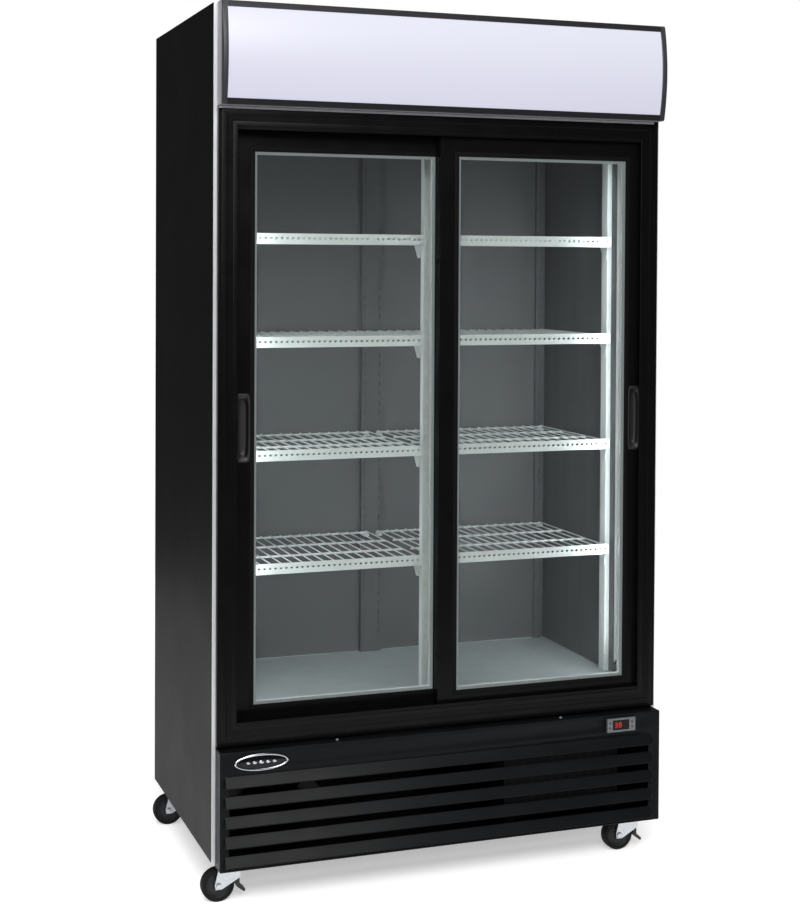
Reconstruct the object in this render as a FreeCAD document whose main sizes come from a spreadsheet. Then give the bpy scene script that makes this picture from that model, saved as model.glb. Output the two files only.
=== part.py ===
"""Two-door sliding glass merchandiser: an upright refrigerated display cabinet on casters.

Frame: +Z up, the front faces -Y, +X is the viewer's right. The origin is on the floor, midway
between the side panels and midway between the back panel and the foremost point of the header.
All lengths are in millimetres.
"""
import FreeCAD, Part
import os
import re

import Sketcher
from FreeCAD import Placement, Rotation, Vector

SIZES = [
    # shell
    ("body_half", 550), ("body_bottom", 100), ("body_top", 2000), ("back_face", 345),
    ("shell_front", -285), ("skin", 1.2), ("deck_top", 360), ("deck_skin", 2),
    # refrigerated cavity
    ("cavity_half", 500), ("cavity_floor", 412), ("cavity_top", 1940), ("cavity_back", 250),
    ("liner_skin", 1), ("cooler_bottom", 1762),
    # surround of the doorway
    ("face_front", -300), ("face_back", -226), ("face_half", 542), ("opening_half", 497),
    ("opening_top", 1723), ("opening_bottom", 411), ("header_bottom", 1774), ("lip", 3),
    ("front_leaf", -285), ("rear_leaf", -255), ("leaf", 24), ("trough_floor", 378),
    ("rail_crest", 383.2), ("mouth_top", 1737), ("guide_top", 1765), ("track_end", 513),
    # doors
    ("door_width", 526), ("stile", 47), ("door_bottom", 388), ("glass_bottom", 436),
    ("glass_top", 1678), ("door_top", 1728), ("rear_door_left", -494), ("front_door_left", -15),
    ("pane", 4), ("bite", 8), ("grip_width", 28), ("grip_low", 985), ("grip_high", 1135),
    ("roller_height", 391), ("roller_inset", 60), ("roller_radius", 10), ("roller_groove", 7.5),
    ("roller_pin", 2),
    # header sign
    ("header_front", -326), ("sign_radius", 414.4), ("sign_axis_depth", 72.4),
    ("sign_axis_height", 1887), ("sign_skin", 3), ("sign_rail", 14), ("cap_width", 12),
    # grille
    ("grille_front", -332), ("grille_top", 356), ("grille_bottom", 92), ("grille_skin", 1.5),
    ("louvre_top", 303), ("louvre_pitch", 44), ("louvre_drop", 25), ("louvre_reach", 13),
    # shelves
    ("shelf_front", -165), ("shelf_back", 236), ("shelf_outer", 486.5), ("shelf_inner", 10.5),
    ("ticket_rail", 25), ("wire_radius", 1.6), ("rod_radius", 2.5), ("wire_pitch", 25.8),
    ("hole_pitch", 13), ("hole_radius", 3.2), ("post_half", 10),
    ("shelf_one", 735), ("shelf_two", 997), ("shelf_three", 1259), ("shelf_four", 1498),
    # fans
    ("fan_offset", 200), ("fan_height", 1850), ("condenser_fan_x", 315),
    ("condenser_fan_z", 228), ("shaft_radius", 4), ("running", 0.06),
    # controller and badge
    ("control_left", 399), ("control_right", 473), ("control_bottom", 316), ("control_top", 348),
    ("button_radius", 3), ("badge_x", -449), ("badge_z", 330), ("badge_half_length", 62),
    ("badge_half_height", 19.5),
    # casters
    ("caster_x", 500), ("caster_front", -245), ("caster_rear", 290), ("caster_trail", 27),
    ("wheel_radius", 37.5), ("wheel_half_width", 12), ("axle_radius", 4), ("plate_under", 97),
]

doc = FreeCAD.newDocument("merchandiser")
sheet = doc.addObject("Spreadsheet::Sheet", "Sizes")
for row, (alias, amount) in enumerate(SIZES, 1):
    sheet.set("A%d" % row, alias)
    sheet.set("B%d" % row, str(amount))
    sheet.setAlias("B%d" % row, alias)
doc.recompute()

nodes = []
Y_AXIS = Rotation(Vector(1, 0, 0), -90)
X_AXIS = Rotation(Vector(0, 1, 0), 90)
Z_AXIS = Rotation()
TURNS = {"x": X_AXIS, "y": Y_AXIS, "z": Z_AXIS}


def bound(text):
    """Point each alias in an expression at the sheet."""
    return re.sub(r"\b([a-z][a-z_]+)\b", r"Sizes.\1", str(text))


def value(text):
    """The present number of an expression on the sheet."""
    return float(sheet.evalExpression(bound(text)))


def keep(piece, label):
    """Name a finished sub-part, so that it is written to its own file."""
    piece.Label = label
    nodes.append(piece)
    return piece


def box(name, along_x, along_y, along_z):
    """A block between a low and a high coordinate on each axis."""
    block = doc.addObject("Part::Box", name)
    spans = (("Length", "x", along_x), ("Width", "y", along_y), ("Height", "z", along_z))
    for prop, axis, (low, high) in spans:
        block.setExpression(prop, bound("(%s) - (%s)" % (high, low)))
        block.setExpression("Placement.Base." + axis, bound(low))
    return block


def cylinder(name, axis, centre, radius, span):
    """A round bar about a line along one axis; centre gives the other two coordinates in order."""
    bar = doc.addObject("Part::Cylinder", name)
    low, high = span
    across = [letter for letter in "xyz" if letter != axis]
    bar.setExpression("Radius", bound(radius))
    bar.setExpression("Height", bound("(%s) - (%s)" % (high, low)))
    bar.Placement = Placement(Vector(), TURNS[axis])
    bar.setExpression("Placement.Base." + axis, bound(low))
    for letter, where in zip(across, centre):
        bar.setExpression("Placement.Base." + letter, bound(where))
    return bar


def fuse(name, pieces):
    """One solid from several that meet."""
    joined = doc.addObject("Part::MultiFuse", name)
    joined.Shapes = pieces
    joined.Refine = True
    return joined


def cut(name, base, tools):
    """A piece with one or more others taken out of it."""
    taken = tools[0] if len(tools) == 1 else group(name + "_tools", tools)
    result = doc.addObject("Part::Cut", name)
    result.Base = base
    result.Tool = taken
    result.Refine = True
    return result


def common(name, one, other):
    """What two pieces share."""
    result = doc.addObject("Part::Common", name)
    result.Base = one
    result.Tool = other
    return result


def group(name, pieces):
    """Separate solids kept side by side in one sub-part."""
    together = doc.addObject("Part::Compound", name)
    together.Links = pieces
    return together


def plane_of(body, role):
    """One of a body's own origin planes."""
    return [feature for feature in body.Origin.OriginFeatures if feature.Role == role][0]


def outline(body, name, role, points, lift):
    """A closed polygon on an origin plane; each corner is held to the sheet on both axes."""
    sketch = body.newObject("Sketcher::SketchObject", name)
    sketch.AttachmentSupport = [(plane_of(body, role), "")]
    sketch.MapMode = "FlatFace"
    sketch.AttachmentOffset = Placement(Vector(0, 0, value(lift)), Rotation())
    sketch.setExpression("AttachmentOffset.Base.z", bound(lift))
    corners = [Vector(value(a), value(b), 0) for a, b in points]
    count = len(corners)
    for index in range(count):
        sketch.addGeometry(Part.LineSegment(corners[index], corners[(index + 1) % count]))
    for index in range(count):
        sketch.addConstraint(Sketcher.Constraint("Coincident", index, 2, (index + 1) % count, 1))
    for index, pair in enumerate(points):
        for kind, zero_axis, text in (("DistanceX", -2, pair[0]), ("DistanceY", -1, pair[1])):
            amount = value(text)
            if abs(amount) < 1e-9:
                sketch.addConstraint(Sketcher.Constraint("PointOnObject", index, 1, zero_axis))
                continue
            where = sketch.addConstraint(Sketcher.Constraint(kind, -1, 1, index, 1, amount))
            sketch.setExpression("Constraints[%d]" % where, bound(text))
    return sketch


def prism(name, axis, points, span):
    """A polygon drawn across one axis and padded along it between two coordinates."""
    low, high = span
    body = doc.addObject("PartDesign::Body", name)
    role = {"x": "YZ_Plane", "y": "XZ_Plane", "z": "XY_Plane"}[axis]
    lift = "-(%s)" % high if axis == "y" else low
    sketch = outline(body, name + "_outline", role, points, lift)
    pad = body.newObject("PartDesign::Pad", name + "_pad")
    pad.Profile = sketch
    pad.setExpression("Length", bound("(%s) - (%s)" % (high, low)))
    return body


def rectangle(along_a, along_b):
    """The four corners between two pairs of coordinates."""
    low_a, high_a = along_a
    low_b, high_b = along_b
    return [(low_a, low_b), (high_a, low_b), (high_a, high_b), (low_a, high_b)]


def turned(name, profile):
    """A solid of revolution about Z from (radius, height) corners."""
    body = doc.addObject("PartDesign::Body", name)
    sketch = outline(body, name + "_profile", "XZ_Plane", profile, 0)
    spin = body.newObject("PartDesign::Revolution", name + "_spin")
    spin.Profile = sketch
    spin.ReferenceAxis = (sketch, ["V_Axis"])
    spin.Angle = 360
    return body


def row_of_cuts(body, name, role, points, lift, depth, along, step, count, backwards):
    """A pocket repeated at equal steps along one of the body's own axes."""
    sketch = outline(body, name + "_shape", role, points, lift)
    pocket = body.newObject("PartDesign::Pocket", name + "_pocket")
    pocket.Profile = sketch
    pocket.Length = depth
    pocket.Reversed = backwards
    pattern = body.newObject("PartDesign::LinearPattern", name + "_row")
    pattern.Originals = [pocket]
    line = [item for item in body.Origin.OriginFeatures if item.Role == along][0]
    pattern.Direction = (line, [""])
    pattern.Length = step * (count - 1)
    pattern.Occurrences = count
    body.Tip = pattern


def side_panel(label, side):
    """Folded steel side: a sheet with a narrow return at the front and at the back."""
    def x(text):
        return "%s * (%s)" % (side, text)
    corners = [
        (x("body_half"), "shell_front"), (x("body_half"), "back_face"),
        (x("body_half - 15"), "back_face"), (x("body_half - 15"), "back_face - skin"),
        (x("body_half - skin"), "back_face - skin"),
        (x("body_half - skin"), "shell_front + skin"),
        (x("face_half"), "shell_front + skin"), (x("face_half"), "shell_front"),
    ]
    keep(prism(label + "_body", "z", corners, ("body_bottom", "body_top")), label)


def top_panel():
    """Top sheet that folds down at the front, behind the header."""
    corners = [
        ("shell_front + skin", "header_bottom"), ("shell_front + skin", "body_top"),
        ("back_face - skin", "body_top"), ("back_face - skin", "body_top - skin"),
        ("shell_front + 2 * skin", "body_top - skin"), ("shell_front + 2 * skin", "header_bottom"),
    ]
    span = ("-body_half + skin", "body_half - skin")
    keep(prism("top_panel_body", "x", corners, span), "top_panel")


def back_panel():
    """Back sheet with air slots for the machine compartment and a hole for the cord gland."""
    sheet_metal = box("back_sheet", ("-body_half + skin", "body_half - skin"),
                      ("back_face - 2 * skin", "back_face - skin"),
                      ("body_bottom", "body_top - skin"))
    holes = []
    for row in range(7):
        low = 150 + 25 * row
        for column in range(3):
            left = -470 + 230 * column
            holes.append(box("back_slot", (left, left + 190), (330, 350), (low, low + 8)))
    holes.append(cylinder("cord_hole", "y", ("380", "180"), "10.3", (330, 350)))
    keep(cut("back_panel_cut", sheet_metal, holes), "back_panel")


def base_chassis():
    """Machine compartment frame: bottom pan, deck and corner posts in one weldment."""
    wide = ("-body_half + skin", "body_half - skin")
    deep = ("shell_front + 2 * skin", "back_face - 2 * skin")
    parts = [
        box("pan", wide, deep, ("body_bottom", "body_bottom + deck_skin")),
        box("deck", wide, deep, ("deck_top - deck_skin", "deck_top")),
    ]
    for side in (-1, 1):
        across = ("%s * (body_half - 17) - 13" % side, "%s * (body_half - 17) + 13" % side)
        for low in ("shell_front + 4", "back_face - 32"):
            parts.append(box("post", across, (low, low + " + 26"), ("body_bottom + 1", "deck_top - 1")))
    keep(fuse("base_weldment", parts), "base_chassis")


def inner_liner():
    """White cavity tub, open at the front below the header."""
    outer = box("liner_outer", ("-cavity_half - liner_skin", "cavity_half + liner_skin"),
                ("face_back", "cavity_back + liner_skin"),
                ("cavity_floor - liner_skin", "cavity_top + liner_skin"))
    inner = box("liner_inner", ("-cavity_half", "cavity_half"),
                ("face_back + liner_skin", "cavity_back"), ("cavity_floor", "cavity_top"))
    doorway = box("liner_doorway", ("-cavity_half", "cavity_half"),
                  ("face_back - 1", "face_back + 2 * liner_skin"),
                  ("cavity_floor", "header_bottom"))
    keep(cut("liner_tub", outer, [inner, doorway]), "inner_liner")


def foam_insulation():
    """Foam between the outer sheets and the liner."""
    outer = box("foam_outer", ("-body_half + skin", "body_half - skin"),
                ("face_back", "back_face - 2 * skin"), ("deck_top", "body_top - skin"))
    tub = box("foam_tub", ("-cavity_half - liner_skin", "cavity_half + liner_skin"),
              ("face_back - 1", "cavity_back + liner_skin"),
              ("cavity_floor - liner_skin", "cavity_top + liner_skin"))
    shell = cut("foam_shell", outer, [tub])
    brow = box("foam_brow", ("-face_half + 1", "face_half - 1"),
               ("shell_front + 2 * skin", "face_back"), ("header_bottom", "body_top - skin"))
    keep(fuse("foam_block", [shell, brow]), "foam_insulation")


def silver_trims():
    """Anodised edge strips on the side panels and the drip line under the header."""
    strips = []
    for side in (-1, 1):
        middle = "%s * (body_half + face_half) / 2" % side
        half = "(body_half - face_half) / 2"
        strips.append(box("edge_strip", (middle + " - " + half, middle + " + " + half),
                          ("shell_front - 3", "shell_front"), ("body_bottom", "body_top")))
    strips.append(box("drip_strip", ("-face_half + 1", "face_half - 12"),
                      ("face_front - 2", "face_front"), ("header_bottom - 6", "header_bottom - 1")))
    keep(group("trim_strips", strips), "silver_trims")


def troughs(name, along_x, along_z):
    """The spaces that the two door leaves run in, between the front lip and the rear lip."""
    middle = "(front_leaf + leaf + rear_leaf) / 2"
    return [
        box(name + "_front", along_x, ("face_front + lip", middle + " - lip / 2"), along_z),
        box(name + "_rear", along_x, (middle + " + lip / 2", "face_back - lip"), along_z),
    ]


def surround():
    """Doorway frame of black extrusion, mitred at the corners: two jambs, a head and a sill."""
    deep = ("face_front", "face_back")
    left = prism("jamb_left", "y", [
        ("-face_half", "deck_top"), ("-opening_half", "opening_bottom"),
        ("-opening_half", "opening_top"), ("-face_half", "header_bottom")], deep)
    solid = prism("jamb_right", "y", [
        ("face_half", "deck_top"), ("face_half", "header_bottom"),
        ("opening_half", "opening_top"), ("opening_half", "opening_bottom")], deep)
    pockets = troughs("jamb_trough", ("opening_half - 1", "track_end"),
                      ("trough_floor", "guide_top"))
    right = cut("jamb_right_cut", solid, pockets)
    keep(group("jamb_pair", [left, right]), "surround_jambs")

    head = prism("head_bar", "y", [
        ("-face_half", "header_bottom"), ("-opening_half", "opening_top"),
        ("opening_half", "opening_top"), ("face_half", "header_bottom")], deep)
    run = ("-opening_half", "track_end")
    spaces = troughs("head_mouth", run, ("opening_top - 1", "mouth_top"))
    for leaf_name in ("front_leaf", "rear_leaf"):
        centre = leaf_name + " + leaf / 2"
        spaces.append(box("guide_slot", run, (centre + " - 4", centre + " + 4"),
                          ("opening_top - 1", "guide_top")))
    keep(cut("head_cut", head, spaces), "head_track")

    sill = prism("sill_bar", "y", [
        ("-face_half", "deck_top"), ("face_half", "deck_top"),
        ("opening_half", "opening_bottom"), ("-opening_half", "opening_bottom")], deep)
    hollow = cut("sill_cut", sill, troughs("sill_trough", run, ("trough_floor", "opening_bottom + 1")))
    rails = []
    for leaf_name in ("front_leaf", "rear_leaf"):
        centre = leaf_name + " + leaf / 2"
        rails.append(box("running_rail", run, (centre + " - 1.2", centre + " + 1.2"),
                         ("trough_floor - 1", "rail_crest")))
    keep(fuse("sill_with_rails", [hollow] + rails), "sill_track")


def door(side, left, front):
    """One sliding leaf: four mitred profiles, sealed double glass, spacer, grip and two rollers."""
    right = left + " + door_width"
    inner_left = left + " + stile"
    inner_right = left + " + door_width - stile"
    deep = (front, front + " + leaf")
    middle = front + " + leaf / 2"
    glazing = box(side + "_glazing_space", (inner_left + " - bite", inner_right + " + bite"),
                  (front + " + 2", front + " + leaf - 2"),
                  ("glass_bottom - bite", "glass_top + bite"))
    grip_left = left + " + 7" if side == "left" else right + " - 7 - grip_width"
    grip_right = grip_left + " + grip_width"
    grip_space = box(side + "_grip_space", (grip_left, grip_right), (front + " - 1", front + " + 15"),
                     ("grip_low", "grip_high"))
    corners = {
        "left_stile": [(left, "door_bottom"), (inner_left, "glass_bottom"),
                       (inner_left, "glass_top"), (left, "door_top")],
        "right_stile": [(right, "door_bottom"), (right, "door_top"),
                        (inner_right, "glass_top"), (inner_right, "glass_bottom")],
        "top_rail": [(left, "door_top"), (inner_left, "glass_top"),
                     (inner_right, "glass_top"), (right, "door_top")],
        "bottom_rail": [(left, "door_bottom"), (right, "door_bottom"),
                        (inner_right, "glass_bottom"), (inner_left, "glass_bottom")],
    }
    bars = {name: prism(side + "_" + name, "y", points, deep) for name, points in corners.items()}
    wheel_places = (left + " + roller_inset", right + " - roller_inset")
    wells = [box("roller_well", (place + " - 13", place + " + 13"),
                 (front + " + 5", front + " + leaf - 5"), ("door_bottom - 1", "roller_height + 13"))
             for place in wheel_places]
    pins = [cylinder("roller_axle", "y", (place, "roller_height"), "roller_pin",
                     (front + " + 4", front + " + leaf - 4")) for place in wheel_places]
    guide = box("top_guide", (left + " + 30", right + " - 30"), (middle + " - 3", middle + " + 3"),
                ("door_top - 1", "guide_top - 8"))
    grip_bar = side + "_stile"
    frame_parts = []
    for name, bar in bars.items():
        tools = [glazing]
        if name == grip_bar:
            tools.append(grip_space)
        if name == "bottom_rail":
            tools += wells
        shaped = cut(side + "_" + name + "_cut", bar, tools)
        if name == "bottom_rail":
            shaped = fuse(side + "_bottom_rail_axles", [shaped] + pins)
        if name == "top_rail":
            shaped = fuse(side + "_top_rail_guide", [shaped, guide])
        frame_parts.append(shaped)
    keep(group(side + "_frame_bars", frame_parts), side + "_door_frame")

    sheet_x = (inner_left + " - bite + 0.5", inner_right + " + bite - 0.5")
    sheet_z = ("glass_bottom - bite + 0.5", "glass_top + bite - 0.5")
    panes = [box(side + "_outer_pane", sheet_x, (front + " + 2", front + " + 2 + pane"), sheet_z),
             box(side + "_inner_pane", sheet_x, (front + " + leaf - 2 - pane", front + " + leaf - 2"),
                 sheet_z)]
    keep(group(side + "_panes", panes), side + "_door_glass")

    between = (front + " + 2 + pane", front + " + leaf - 2 - pane")
    ring = box(side + "_spacer_outer", (inner_left + " - 5", inner_right + " + 5"), between,
               ("glass_bottom - 5", "glass_top + 5"))
    hole = box(side + "_spacer_inner", (inner_left + " + 6", inner_right + " - 6"),
               (front, front + " + leaf"), ("glass_bottom + 6", "glass_top - 6"))
    keep(cut(side + "_spacer", ring, [hole]), side + "_door_spacer")

    shell = box(side + "_grip_shell", (grip_left, grip_right), (front + " - 1", front + " + 15"),
                ("grip_low", "grip_high"))
    rim = box(side + "_grip_rim", (grip_left + " - 2", grip_right + " + 2"), (front + " - 2", front),
              ("grip_low - 2", "grip_high + 2"))
    centre = "(%s + %s) / 2" % (grip_left, grip_right)
    scoop = [box("scoop_slot", (centre + " - 10", centre + " + 10"), (front + " - 3", front + " + 11"),
                 ("grip_low + 28", "grip_high - 24"))]
    for height in ("grip_low + 28", "grip_high - 24"):
        scoop.append(cylinder("scoop_end", "y", (centre, height), "10", (front + " - 3", front + " + 11")))
    body = fuse(side + "_grip_block", [shell, rim])
    keep(cut(side + "_grip_cut", body, scoop), side + "_door_handle")

    for place, name in zip(wheel_places, ("outer", "inner") if side == "left" else ("inner", "outer")):
        roller(side + "_roller_" + name, place, middle)


def roller(label, place, middle):
    """Grooved nylon wheel that straddles the running rail."""
    half = 3.5
    profile = [("roller_pin + running", -half), ("roller_radius", -half), ("roller_radius", -1.6),
               ("roller_groove", -1.6), ("roller_groove", 1.6), ("roller_radius", 1.6),
               ("roller_radius", half), ("roller_pin + running", half)]
    wheel = turned(label + "_wheel", profile)
    wheel.Placement = Placement(Vector(value(place), value(middle), value("roller_height")), Y_AXIS)
    wheel.setExpression("Placement.Base.x", bound(place))
    wheel.setExpression("Placement.Base.y", bound(middle))
    wheel.setExpression("Placement.Base.z", bound("roller_height"))
    keep(wheel, label)


def slotted_standard(name, along_x, along_y, slot_x, top):
    """Upright shelf standard with columns of slots in its front face, at a 25 mm pitch."""
    body = prism(name, "z", rectangle(along_x, along_y), ("cavity_floor", top))
    front = value(along_y[0])
    count = int((value(top) - 500) // 25)
    slots = [rectangle((centre - 1.5, centre + 1.5), (460, 470)) for centre in slot_x]
    for number, points in enumerate(slots):
        row_of_cuts(body, "%s_slots_%d" % (name, number), "XZ_Plane", points, -front, 3,
                    "Z_Axis", 25, count, False)
    return body


def pilasters():
    """Six shelf standards: a centre post, a pair on the side walls and three on the back wall."""
    back = ("cavity_back - 10", "cavity_back")
    posts = [
        slotted_standard("centre_post", ("-post_half", "post_half"),
                         ("shelf_front", "shelf_front + 20"), [-4], "cavity_top"),
        slotted_standard("back_centre", (-28, 28), back, [-20, 20], "cooler_bottom - 2"),
        slotted_standard("back_left", (-490, -470), back, [-480], "cooler_bottom - 2"),
        slotted_standard("back_right", (470, 490), back, [480], "cooler_bottom - 2"),
        prism("side_left", "z", rectangle(("-cavity_half", "-cavity_half + 12"), (-142, -112)),
              ("cavity_floor", "cavity_top")),
        prism("side_right", "z", rectangle(("cavity_half - 12", "cavity_half"), (-142, -112)),
              ("cavity_floor", "cavity_top")),
    ]
    keep(group("pilaster_set", posts), "pilasters")


def shelf_levels():
    """Heights of the four shelves' top edges."""
    return [value(name) for name in ("shelf_one", "shelf_two", "shelf_three", "shelf_four")]


def at_levels(name, master, lift):
    """The same piece at every shelf height, as separate solids."""
    copies = doc.addObject("Part::Feature", name)
    shapes = []
    for level in shelf_levels():
        piece = master.Shape.copy()
        piece.translate(Vector(0, 0, level + lift))
        shapes.append(piece)
    copies.Shape = Part.makeCompound(shapes)
    return copies


def wire_shelf(name, side):
    """Welded wire shelf drawn at height 0: long wires over four cross rods."""
    low, high = sorted((value("%d * shelf_inner" % side), value("%d * shelf_outer" % side)))
    front, back = value("shelf_front"), value("shelf_back")
    wires = []
    count = int((high - low) // value("wire_pitch"))
    first = (low + high) / 2 - count * value("wire_pitch") / 2
    for number in range(count + 1):
        across = first + number * value("wire_pitch")
        wires.append(cylinder(name + "_wire", "y", (across, -5), "wire_radius", (front + 2, back)))
    for depth in (front + 4.1, front + 134, front + 264, back - 3):
        wires.append(cylinder(name + "_rod", "x", (depth, -8.2), "rod_radius", (low, high)))
    return fuse(name, wires)


def ticket_rail(name, side):
    """Front rail of a shelf drawn at height 0: a folded strip with a row of round holes."""
    low, high = sorted((value("%d * shelf_inner" % side), value("%d * shelf_outer" % side)))
    front = "shelf_front"
    corners = [(front, 0), (front, "-ticket_rail"), (front + " + 15", "-ticket_rail"),
               (front + " + 15", "-ticket_rail + 1.5"), (front + " + 1.5", "-ticket_rail + 1.5"),
               (front + " + 1.5", 0)]
    strip = prism(name + "_strip", "x", corners, (low, high))
    count = int((high - low - 16) // value("hole_pitch"))
    first = (low + high) / 2 - count * value("hole_pitch") / 2
    holes = [cylinder(name + "_hole", "y", (first + number * value("hole_pitch"), -11),
                      "hole_radius", (front + " - 1", front + " + 3")) for number in range(count + 1)]
    return cut(name, strip, holes)


def shelving():
    """Wire shelves, their front rails, and the brackets that hang them on the standards."""
    grids = []
    rails = []
    brackets = []
    for side, word in ((-1, "left"), (1, "right")):
        grid = wire_shelf("grid_" + word, side)
        rail = ticket_rail("rail_" + word, side)
        doc.recompute()
        grids.append(at_levels("grids_" + word, grid, 0))
        rails.append(at_levels("rails_" + word, rail, 0))
        for level in shelf_levels():
            for near, far in ((10, 12), (486, 488)):
                across = sorted((side * near, side * far))
                brackets.append(prism("bracket", "x", [
                    (-149, level - 11), (-95, level - 11), (-128, level - 55), (-142, level - 55)],
                    across))
            for near, far in ((12, 24), (474, 486)):
                across = sorted((side * near, side * far))
                brackets.append(box("rear_clip", across, (222, "cavity_back - 10"),
                                    (level - 17, level - 11)))
    keep(group("shelf_grids", grids), "shelves")
    keep(group("front_rails", rails), "shelf_rails")
    keep(group("bracket_set", brackets), "shelf_brackets")


def lamps():
    """Upright light tubes behind the jambs and the tube that lights the sign."""
    tubes = [cylinder("upright_tube", "z", (side * 490, -205), "7", (450, 1700)) for side in (-1, 1)]
    tubes.append(cylinder("sign_tube", "x", (-305, "sign_axis_height"), "8", (-500, 500)))
    keep(group("tube_set", tubes), "led_lamps")


def evaporator():
    """Ceiling cooler: a sheet cover with two fan openings, and a finned coil behind them."""
    outer = box("cooler_outer", (-420, 420), (-120, "cavity_back"), ("cooler_bottom", "cavity_top"))
    inner = box("cooler_inner", (-418.5, 418.5), (-118.5, "cavity_back + 1"),
                ("cooler_bottom + 1.5", "cavity_top + 1"))
    mouths = [cylinder("fan_mouth", "y", ("%d * fan_offset" % side, "fan_height"), "92", (-125, -110))
              for side in (-1, 1)]
    keep(cut("cooler_cover", outer, [inner] + mouths), "evaporator_cover")
    core = [box("coil_core", (-370, 370), (30, 200), (1785, 1925))]
    for side in (-1, 1):
        plate = sorted((side * 368, side * 372))
        core.append(box("coil_plate", plate, (20, 210), (1764, 1930)))
        for row in range(4):
            ends = sorted((side * 371, side * 390))
            core.append(cylinder("coil_bend", "x", (60 + 36 * row, 1855), "6", ends))
    keep(fuse("coil_block", core), "evaporator_coil")


def fan(label, across, height, front, radius, hub):
    """Five pitched blades around a hub, turned about a line along Y."""
    blades = [cylinder(label + "_hub", "y", (across, height), hub, (front, front + 26))]
    reach = (value(radius) + value(hub)) / 2 - 1
    length = value(radius) - value(hub) + 8
    for number in range(5):
        blade = doc.addObject("Part::Box", label + "_blade")
        blade.Length = length
        blade.Width = 2.5
        blade.Height = value(hub) * 1.2
        centred = Placement(Vector(-length / 2, -1.25, -value(hub) * 0.6), Rotation())
        pitched = Placement(Vector(), Rotation(Vector(1, 0, 0), 68))
        outward = Placement(Vector(reach, 0, 0), Rotation())
        around = Placement(Vector(), Rotation(Vector(0, 1, 0), 72 * number))
        home = Placement(Vector(value(across), front + 13, value(height)), Rotation())
        blade.Placement = home * around * outward * pitched * centred
        blades.append(blade)
    wheel = fuse(label + "_wheel", blades)
    bore = cylinder(label + "_bore", "y", (across, height), "shaft_radius + running",
                    (front - 1, front + 27))
    keep(cut(label + "_cut", wheel, [bore]), label)


def fans():
    """Two evaporator fans, the condenser fan and their motors on stands."""
    fan("evaporator_fan_left", "-fan_offset", "fan_height", -112, "80", "26")
    fan("evaporator_fan_right", "fan_offset", "fan_height", -112, "80", "26")
    fan("condenser_fan", "condenser_fan_x", "condenser_fan_z", -192, "98", "28")
    motors = []
    tray = "cooler_bottom + 1.5"
    layout = (("-fan_offset", "fan_height", -112, 24, tray),
              ("fan_offset", "fan_height", -112, 24, tray),
              ("condenser_fan_x", "condenser_fan_z", -192, 35, "body_bottom + deck_skin"))
    for across, height, front, radius, ground in layout:
        motors.append(fuse("fan_motor", [
            cylinder("motor_can", "y", (across, height), radius, (front + 32, front + 82)),
            cylinder("motor_shaft", "y", (across, height), "shaft_radius", (front + 3, front + 33)),
            box("motor_leg", (across + " - 10", across + " + 10"), (front + 45, front + 63),
                (ground, height + " - %s + 3" % radius)),
            box("motor_foot", (across + " - 30", across + " + 30"), (front + 40, front + 68),
                (ground, "%s + 3" % ground)),
        ]))
    keep(group("motor_set", motors), "fan_motors")


def machinery():
    """Hermetic compressor and the condenser with its fan shroud."""
    dome = turned("compressor_dome", [
        (0, 0), (62, 0), (84, 22), (88, 60), (88, 118), (78, 152), (52, 172), (20, 178), (0, 178)])
    dome.Placement = Placement(Vector(-300, 130, 118), Rotation())
    plate = box("compressor_plate", (-415, -185), (50, 210), ("body_bottom + deck_skin", 119))
    stub = cylinder("compressor_stub", "z", (-300, 130), "9", (290, 318))
    box_front = box("terminal_box", (-335, -265), (30, 60), (170, 230))
    keep(fuse("compressor_unit", [dome, plate, stub, box_front]), "compressor")

    coil = box("condenser_core", (165, 465), (-262, -222), (112, 346))
    outer = box("shroud_outer", (165, 465), (-222, -180), ("body_bottom + deck_skin", 346))
    inner = box("shroud_inner", (167, 463), (-223, -182), (112, 344))
    mouth = cylinder("shroud_mouth", "y", ("condenser_fan_x", "condenser_fan_z"), "106", (-190, -170))
    shroud = cut("shroud_cut", outer, [inner, mouth])
    legs = [box("coil_leg", (left, left + 20), (-262, -222), ("body_bottom + deck_skin", 113))
            for left in (170, 440)]
    keep(group("condenser_unit", [fuse("condenser_coil", [coil] + legs), shroud]), "condenser")


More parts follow.
